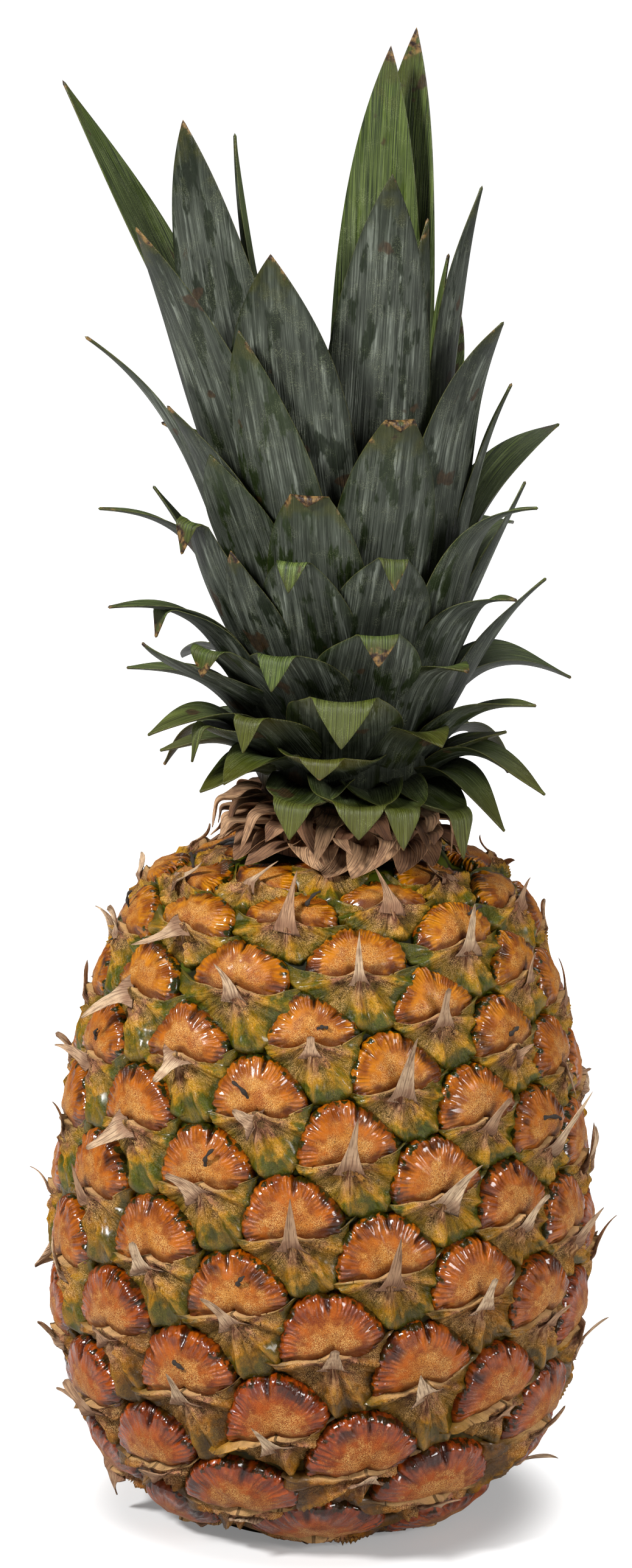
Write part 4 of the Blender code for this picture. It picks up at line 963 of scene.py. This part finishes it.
blades = []
for number, row in enumerate(LEAVES):
    azimuth, foot, reach, top, lean, tip_lean, width, face, fold, narrow, dry = row
    root = (stem_radius(foot * MM) - LEAF_ROOT, foot * MM)
    taper = UPRIGHT_TAPER if tip_lean < UPRIGHT_LEAN or fold else BENT_TAPER
    azimuth, lean, tip_lean, face = (math.radians(turn) for turn in (azimuth, lean, tip_lean, face))
    more = {"face": face, "fold": fold * MM, "narrow": narrow, "dry": dry}
    tip = (reach * MM, top * MM)
    blades.append(leaf(number, azimuth, root, tip, lean, tip_lean, width * MM, LEAF_THICKNESS, taper, **more))
draw = random.Random(11)
for number in range(BACK_LEAVES):
    rise = number / (BACK_LEAVES - 1)
    azimuth = (LEAF_TURN * number + 0.6 + math.pi) % (2 * math.pi) - math.pi
    if abs(azimuth) < BACK_FROM:
        continue
    foot = 0.0150 + 0.0430 * rise**0.9
    root = (stem_radius(foot) - LEAF_ROOT, foot)
    reach = 0.042 + 0.016 * math.sin(math.pi * rise) - 0.014 * rise**3 + draw.uniform(-0.004, 0.004)
    top = 0.012 + 0.148 * rise**1.2 + draw.uniform(-0.005, 0.005)
    lean = math.radians(46 - 38 * rise**0.7)
    tip_lean = math.radians(140 * (1 - rise) ** 0.8 + draw.uniform(0, 14))
    width = 0.018 + 0.007 * math.sin(math.pi * rise)
    taper = BENT_TAPER + (UPRIGHT_TAPER - BENT_TAPER) * rise
    more = {"swing": draw.uniform(-0.12, 0.12), "dry": draw.uniform(0.1, 0.6)}
    blades.append(
        leaf(100 + number, azimuth, root, (reach, top), lean, tip_lean, width, LEAF_THICKNESS, taper, **more)
    )

leafy = Finish("crown_leaf")
way, aside, along, edge, seed = (leafy.painted(name) for name in ("way", "aside", "along", "edge", "seed"))
inner, low = leafy.painted("inner"), leafy.painted("low")
fine = leafy.lines(aside, 3.4, along, 0.05, seed)
broad = leafy.lines(aside, 0.8, along, 0.03, seed)
rubbed = leafy.smears(aside, 0.25, along, 0.07, seed, 6.0, 0.62)
worn = leafy.smears(aside, 0.7, along, 0.05, seed, 5.0, 0.6)
green = leafy.mixed(leafy.band(leafy.painted("tone"), -1, 1), seen(0.12, 0.17, 0.06), seen(0.20, 0.26, 0.07))
green = leafy.mixed(leafy.band(low, 0.25, 0.45, 0.6, 0.0), green, seen(0.30, 0.33, 0.09))
powder = leafy.mixed(fine, seen(0.26, 0.28, 0.24), seen(0.48, 0.50, 0.46))
powder = leafy.mixed(leafy.band(worn, 0.36, 0.56, 0.6, 0.0), powder, seen(0.20, 0.22, 0.18))
powder = leafy.mixed(leafy.band(worn, 0.54, 0.70, 0.0, 0.55), powder, seen(0.74, 0.76, 0.72))
powder = leafy.mixed(leafy.band(broad, 0.60, 1.0, 0.0, 0.12), powder, seen(0.52, 0.54, 0.50))
cover = leafy.times(leafy.band(rubbed, 0.41, 0.47, 0.15, 0.95), leafy.band(broad, 0.0, 0.5, 0.9, 1.0))
cover = leafy.times(cover, leafy.band(way, 0.75, 1.0, 1.0, 0.35))
cover = leafy.times(cover, leafy.band(edge, 0.80, 1.0, 1.0, 0.35))
cover = leafy.times(cover, leafy.band(low, 0.25, 0.42, 0.55, 1.0))
skin = leafy.mixed(cover, green, powder)
upper = leafy.mixed(fine, seen(0.20, 0.26, 0.09), seen(0.50, 0.56, 0.29))
skin = leafy.mixed(leafy.times(inner, leafy.band(way, 0.3, 0.85, 0.25, 0.8)), skin, upper)
olive = leafy.times(leafy.band(low, 0.27, 0.42, 0.55, 0.0), leafy.band(way, 0.45, 0.9))
skin = leafy.mixed(olive, skin, seen(0.42, 0.39, 0.13))
# Painted shade: the leaves darken towards their feet, where they stand packed together.
skin = leafy.mixed(leafy.band(way, 0.10, 0.70, 0.60, 0.0), skin, seen(0.07, 0.09, 0.06))
flecks = leafy.group(FRECKLES, Scale=5200.0, From=0.55)
flecks = leafy.times(flecks, leafy.band(leafy.noise(0.004, 3.0), 0.45, 0.65, 0.0, 0.30))
skin = leafy.mixed(flecks, skin, seen(0.72, 0.74, 0.62))
tip = leafy.plus(way, leafy.band(leafy.noise(0.004, 4.0), 0.3, 0.7, -0.05, 0.05))
tip = leafy.plus(tip, leafy.times(edge, 0.03))
dry_from = leafy.maths("SUBTRACT", 1.05, leafy.times(leafy.painted("dry"), 0.11))
past = leafy.maths("SUBTRACT", tip, dry_from)
skin = leafy.mixed(leafy.band(past, -0.10, 0.0, 0.0, 0.6), skin, seen(0.33, 0.33, 0.10))
straw_patches = leafy.band(leafy.noise(0.0012, 4.0), 0.35, 0.65)
straw = leafy.mixed(straw_patches, seen(0.22, 0.13, 0.05), seen(0.60, 0.50, 0.33))
skin = leafy.mixed(leafy.band(past, 0.0, 0.03), skin, straw)
skin = leafy.mixed(leafy.band(edge, 0.975, 1.0, 0.0, 0.55), skin, seen(0.50, 0.47, 0.28))
scar = leafy.band(leafy.noise(0.010, 3.0), 0.66, 0.69, 0.0, 0.85)
corky = leafy.mixed(leafy.noise(0.0010, 3.0), seen(0.10, 0.07, 0.03), seen(0.45, 0.36, 0.25))
skin = leafy.mixed(scar, skin, corky)
relief = leafy.bump(fine, 0.00022, 0.7)
relief = leafy.bump(leafy.noise(0.0007, 3.0), 0.00010, 0.6, normal=relief)
satin = leafy.mixed(cover, grey(0.36), grey(0.60))
leafy.set(colour=leafy.deepened(skin, 1.38, 1.0), roughness=satin, normal=relief, specular=0.35)

crown = grown("crown_leaves", leaf_faces, blades)
crown.data.materials.append(leafy.material)
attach(crown, "root")
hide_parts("crown")

stem_line = [(0.0, STEM[0][1])] + list(STEM) + [(0.0, STEM[-1][1])]
stem_faces, around, tall, angle = turned_body(stem_line, STEM_SEGMENTS)
stem_spots = np.stack([around * np.cos(angle), around * np.sin(angle), tall], axis=-1)
stem_values = {"way": 0.0, "aside": stem_spots[:, 0] / MM, "along": 0.0, "edge": 0.0, "seed": 3.0}
stem_values |= {"tone": -1.0, "dry": 0.0, "inner": 0.0, "low": 0.3}
stem = grown("crown_stem", stem_faces, [(in_crown(stem_spots), stem_values)])
stem.data.materials.append(leafy.material)
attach(stem, "root")
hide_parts("crown")

# Dry collar. Round the neck sit the brown papery feet of the lowest leaves, split and curled,
# lying against the shoulder of the fruit and under the green leaves. They stand in three tiers.
COLLAR_RADIUS = 0.0195
COLLAR_ROOT = 0.0025
COLLAR_BRACTS = 54
COLLAR_THICKNESS = 0.0006
# For each tier: the foot's height, the tip's reach and height, both leans, the hanging tip, what is added
# to the width. Two numbers in brackets are the ends of a range.
TIERS = (
    ((0.0020, 0.0036), (0.0265, 0.0310), (-0.0015, 0.0010), 75, (100, 135), None, 0.004),
    ((0.0050, 0.0070), (0.0250, 0.0290), (0.0065, 0.0100), 60, 85, (0.0030, 0.0070), 0.0),
    ((0.0085, 0.0100), (0.0240, 0.0280), (0.0095, 0.0120), 62, 90, (0.0060, 0.0110), 0.0),
)
NECK = ((0.0, 0.0), (0.0195, 0.0003), (0.0198, 0.0050), (0.0190, 0.0126), (0.0, 0.0126))
NECK_SEGMENTS = 40

collar = []
draw = random.Random(12)
for number in range(COLLAR_BRACTS):
    foot_range, reach_range, top_range, lean, tip_lean, hang_range, wider = TIERS[number % len(TIERS)]
    azimuth = 2 * math.pi * (number + 0.6 * draw.random()) / COLLAR_BRACTS
    root = (COLLAR_RADIUS - COLLAR_ROOT, draw.uniform(*foot_range))
    tip = (draw.uniform(*reach_range), draw.uniform(*top_range))
    if isinstance(tip_lean, tuple):
        tip_lean = draw.uniform(*tip_lean)
    hang = draw.uniform(*hang_range) if hang_range else 0.0
    lean, tip_lean = math.radians(lean), math.radians(tip_lean)
    width = draw.uniform(0.0080, 0.0120) + wider
    more = {"swing": draw.uniform(-0.35, 0.35), "fold": hang, "narrow": 0.55 if hang else 0.0, "dry": 1.0}
    more["crumple"] = draw.uniform(0.0, 0.07)
    collar.append(
        leaf(200 + number, azimuth, root, tip, lean, tip_lean, width, COLLAR_THICKNESS, BENT_TAPER, **more)
    )
paper = Finish("dry_collar_paper")
fibres = paper.lines(paper.painted("aside"), 2.6, paper.painted("along"), 0.12, paper.painted("seed"))
tan = paper.mixed(paper.band(paper.painted("tone"), -1, 1), seen(0.42, 0.27, 0.16), seen(0.74, 0.58, 0.43))
tan = paper.mixed(paper.band(paper.noise(0.004, 3.0), 0.42, 0.62, 0.0, 0.6), tan, seen(0.36, 0.21, 0.11))
tan = paper.mixed(paper.band(fibres, 0.45, 0.9, 0.0, 0.6), tan, seen(0.18, 0.09, 0.05))
tan = paper.mixed(paper.band(paper.painted("edge"), 0.93, 1.0, 0.0, 0.6), tan, seen(0.66, 0.50, 0.33))
paper.set(colour=tan, roughness=0.8, normal=paper.bump(fibres, 0.0003, 0.8))
bracts = grown("dry_collar_bracts", leaf_faces, collar)
bracts.data.materials.append(paper.material)
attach(bracts, "root")
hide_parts("dry_collar")

neck_faces, around, tall, angle = turned_body(NECK, NECK_SEGMENTS)
neck_spots = np.stack([around * np.cos(angle), around * np.sin(angle), tall], axis=-1)
neck_values = {"aside": angle * 20, "along": tall / MM, "edge": 0.0, "seed": 3.0, "tone": -0.5}
neck = grown("collar_neck", neck_faces, [(in_crown(neck_spots), neck_values)])
neck.data.materials.append(paper.material)
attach(neck, "root")
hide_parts("dry_collar")

# Floor, light and camera: a plain pale studio sweep that the camera sees as white. Close round the fruit's
# foot the floor glows less, a painted shadow added to the shadow that the lights cast. A small strong light
# stands at the upper left in front, a wider and weaker one at the right, and a large one hangs above. The
# camera looks a little down on the fruit.
SHADOW_FROM, SHADOW_TO = 0.044, 0.070
FLOOR_GLOW_NEAR, FLOOR_GLOW_FAR = 0.20, 1.0
SKY_GLOW = 0.17

bpy.ops.object.select_all(action="DESELECT")
bpy.ops.mesh.primitive_plane_add(size=30, location=(0, 0, -0.0001))
floor = bpy.context.object
floor.name = "studio_floor"
sweep = Finish("studio_white")
away = sweep.node("ShaderNodeVectorMath", {0: sweep.place()}, operation="LENGTH").outputs["Value"]
# Painted shadow: the floor's glow is turned down close round the fruit's foot.
glow = sweep.band(away, SHADOW_FROM, SHADOW_TO, FLOOR_GLOW_NEAR, FLOOR_GLOW_FAR)
glow = sweep.times(sweep.node("ShaderNodeLightPath").outputs["Is Camera Ray"], glow)
sweep.set(colour=seen(0.80, 0.80, 0.80), roughness=0.9, emission=(1, 1, 1, 1), emission_strength=glow)
floor.data.materials.append(sweep.material)

world = bpy.data.worlds.new("studio")
bpy.context.scene.world = world
world.use_nodes = True
sky = world.node_tree
backdrop = sky.nodes["Background"]
backdrop.inputs["Color"].default_value = (1, 1, 1, 1)
for_lens = sky.nodes.new("ShaderNodeMapRange")
for_lens.inputs["To Min"].default_value = SKY_GLOW
sky.links.new(sky.nodes.new("ShaderNodeLightPath").outputs["Is Camera Ray"], for_lens.inputs["Value"])
sky.links.new(for_lens.outputs["Result"], backdrop.inputs["Strength"])
bpy.context.scene.view_settings.view_transform = "Standard"


def soft_light(name, place, aim, size, power):
    lamp = bpy.data.lights.new(name, "AREA")
    lamp.shape = "DISK"
    lamp.size = size
    lamp.energy = power
    made = bpy.data.objects.new(name, lamp)
    bpy.context.scene.collection.objects.link(made)
    made.location = place
    made.rotation_euler = (Vector(aim) - Vector(place)).to_track_quat("-Z", "Y").to_euler()


soft_light("key", (-0.95, -0.85, 1.20), (0, 0, 0.16), 0.30, 38)
soft_light("fill", (1.1, -1.1, 0.65), (0, 0, 0.10), 0.5, 17)
soft_light("above", (0.1, 0.35, 1.5), (0, 0, 0.2), 1.0, 12)

ELEVATION = math.radians(12.53)
DISTANCE = 1.3
AIM_HEIGHT = 0.175
FOCAL_PIXELS = 9253.0
IMAGE_TALL = 2576
SENSOR = 36
# How far the aimed point lies from the middle of the picture, in its pixels, to the right and up
OFF_RIGHT, OFF_UP = 2.03, 11.4
pixel = DISTANCE / FOCAL_PIXELS
sight = Vector((0, math.cos(ELEVATION), -math.sin(ELEVATION)))
above = Vector((0, math.sin(ELEVATION), math.cos(ELEVATION)))
aim = Vector((OFF_RIGHT * pixel, 0, AIM_HEIGHT)) - above * OFF_UP * pixel
lens = bpy.data.cameras.new("photo_view")
lens.sensor_width = SENSOR
lens.lens = FOCAL_PIXELS / IMAGE_TALL * SENSOR
camera = bpy.data.objects.new("photo_view", lens)
bpy.context.scene.collection.objects.link(camera)
camera.location = aim - sight * DISTANCE
camera.rotation_euler = sight.to_track_quat("-Z", "Y").to_euler()
bpy.context.scene.camera = camera
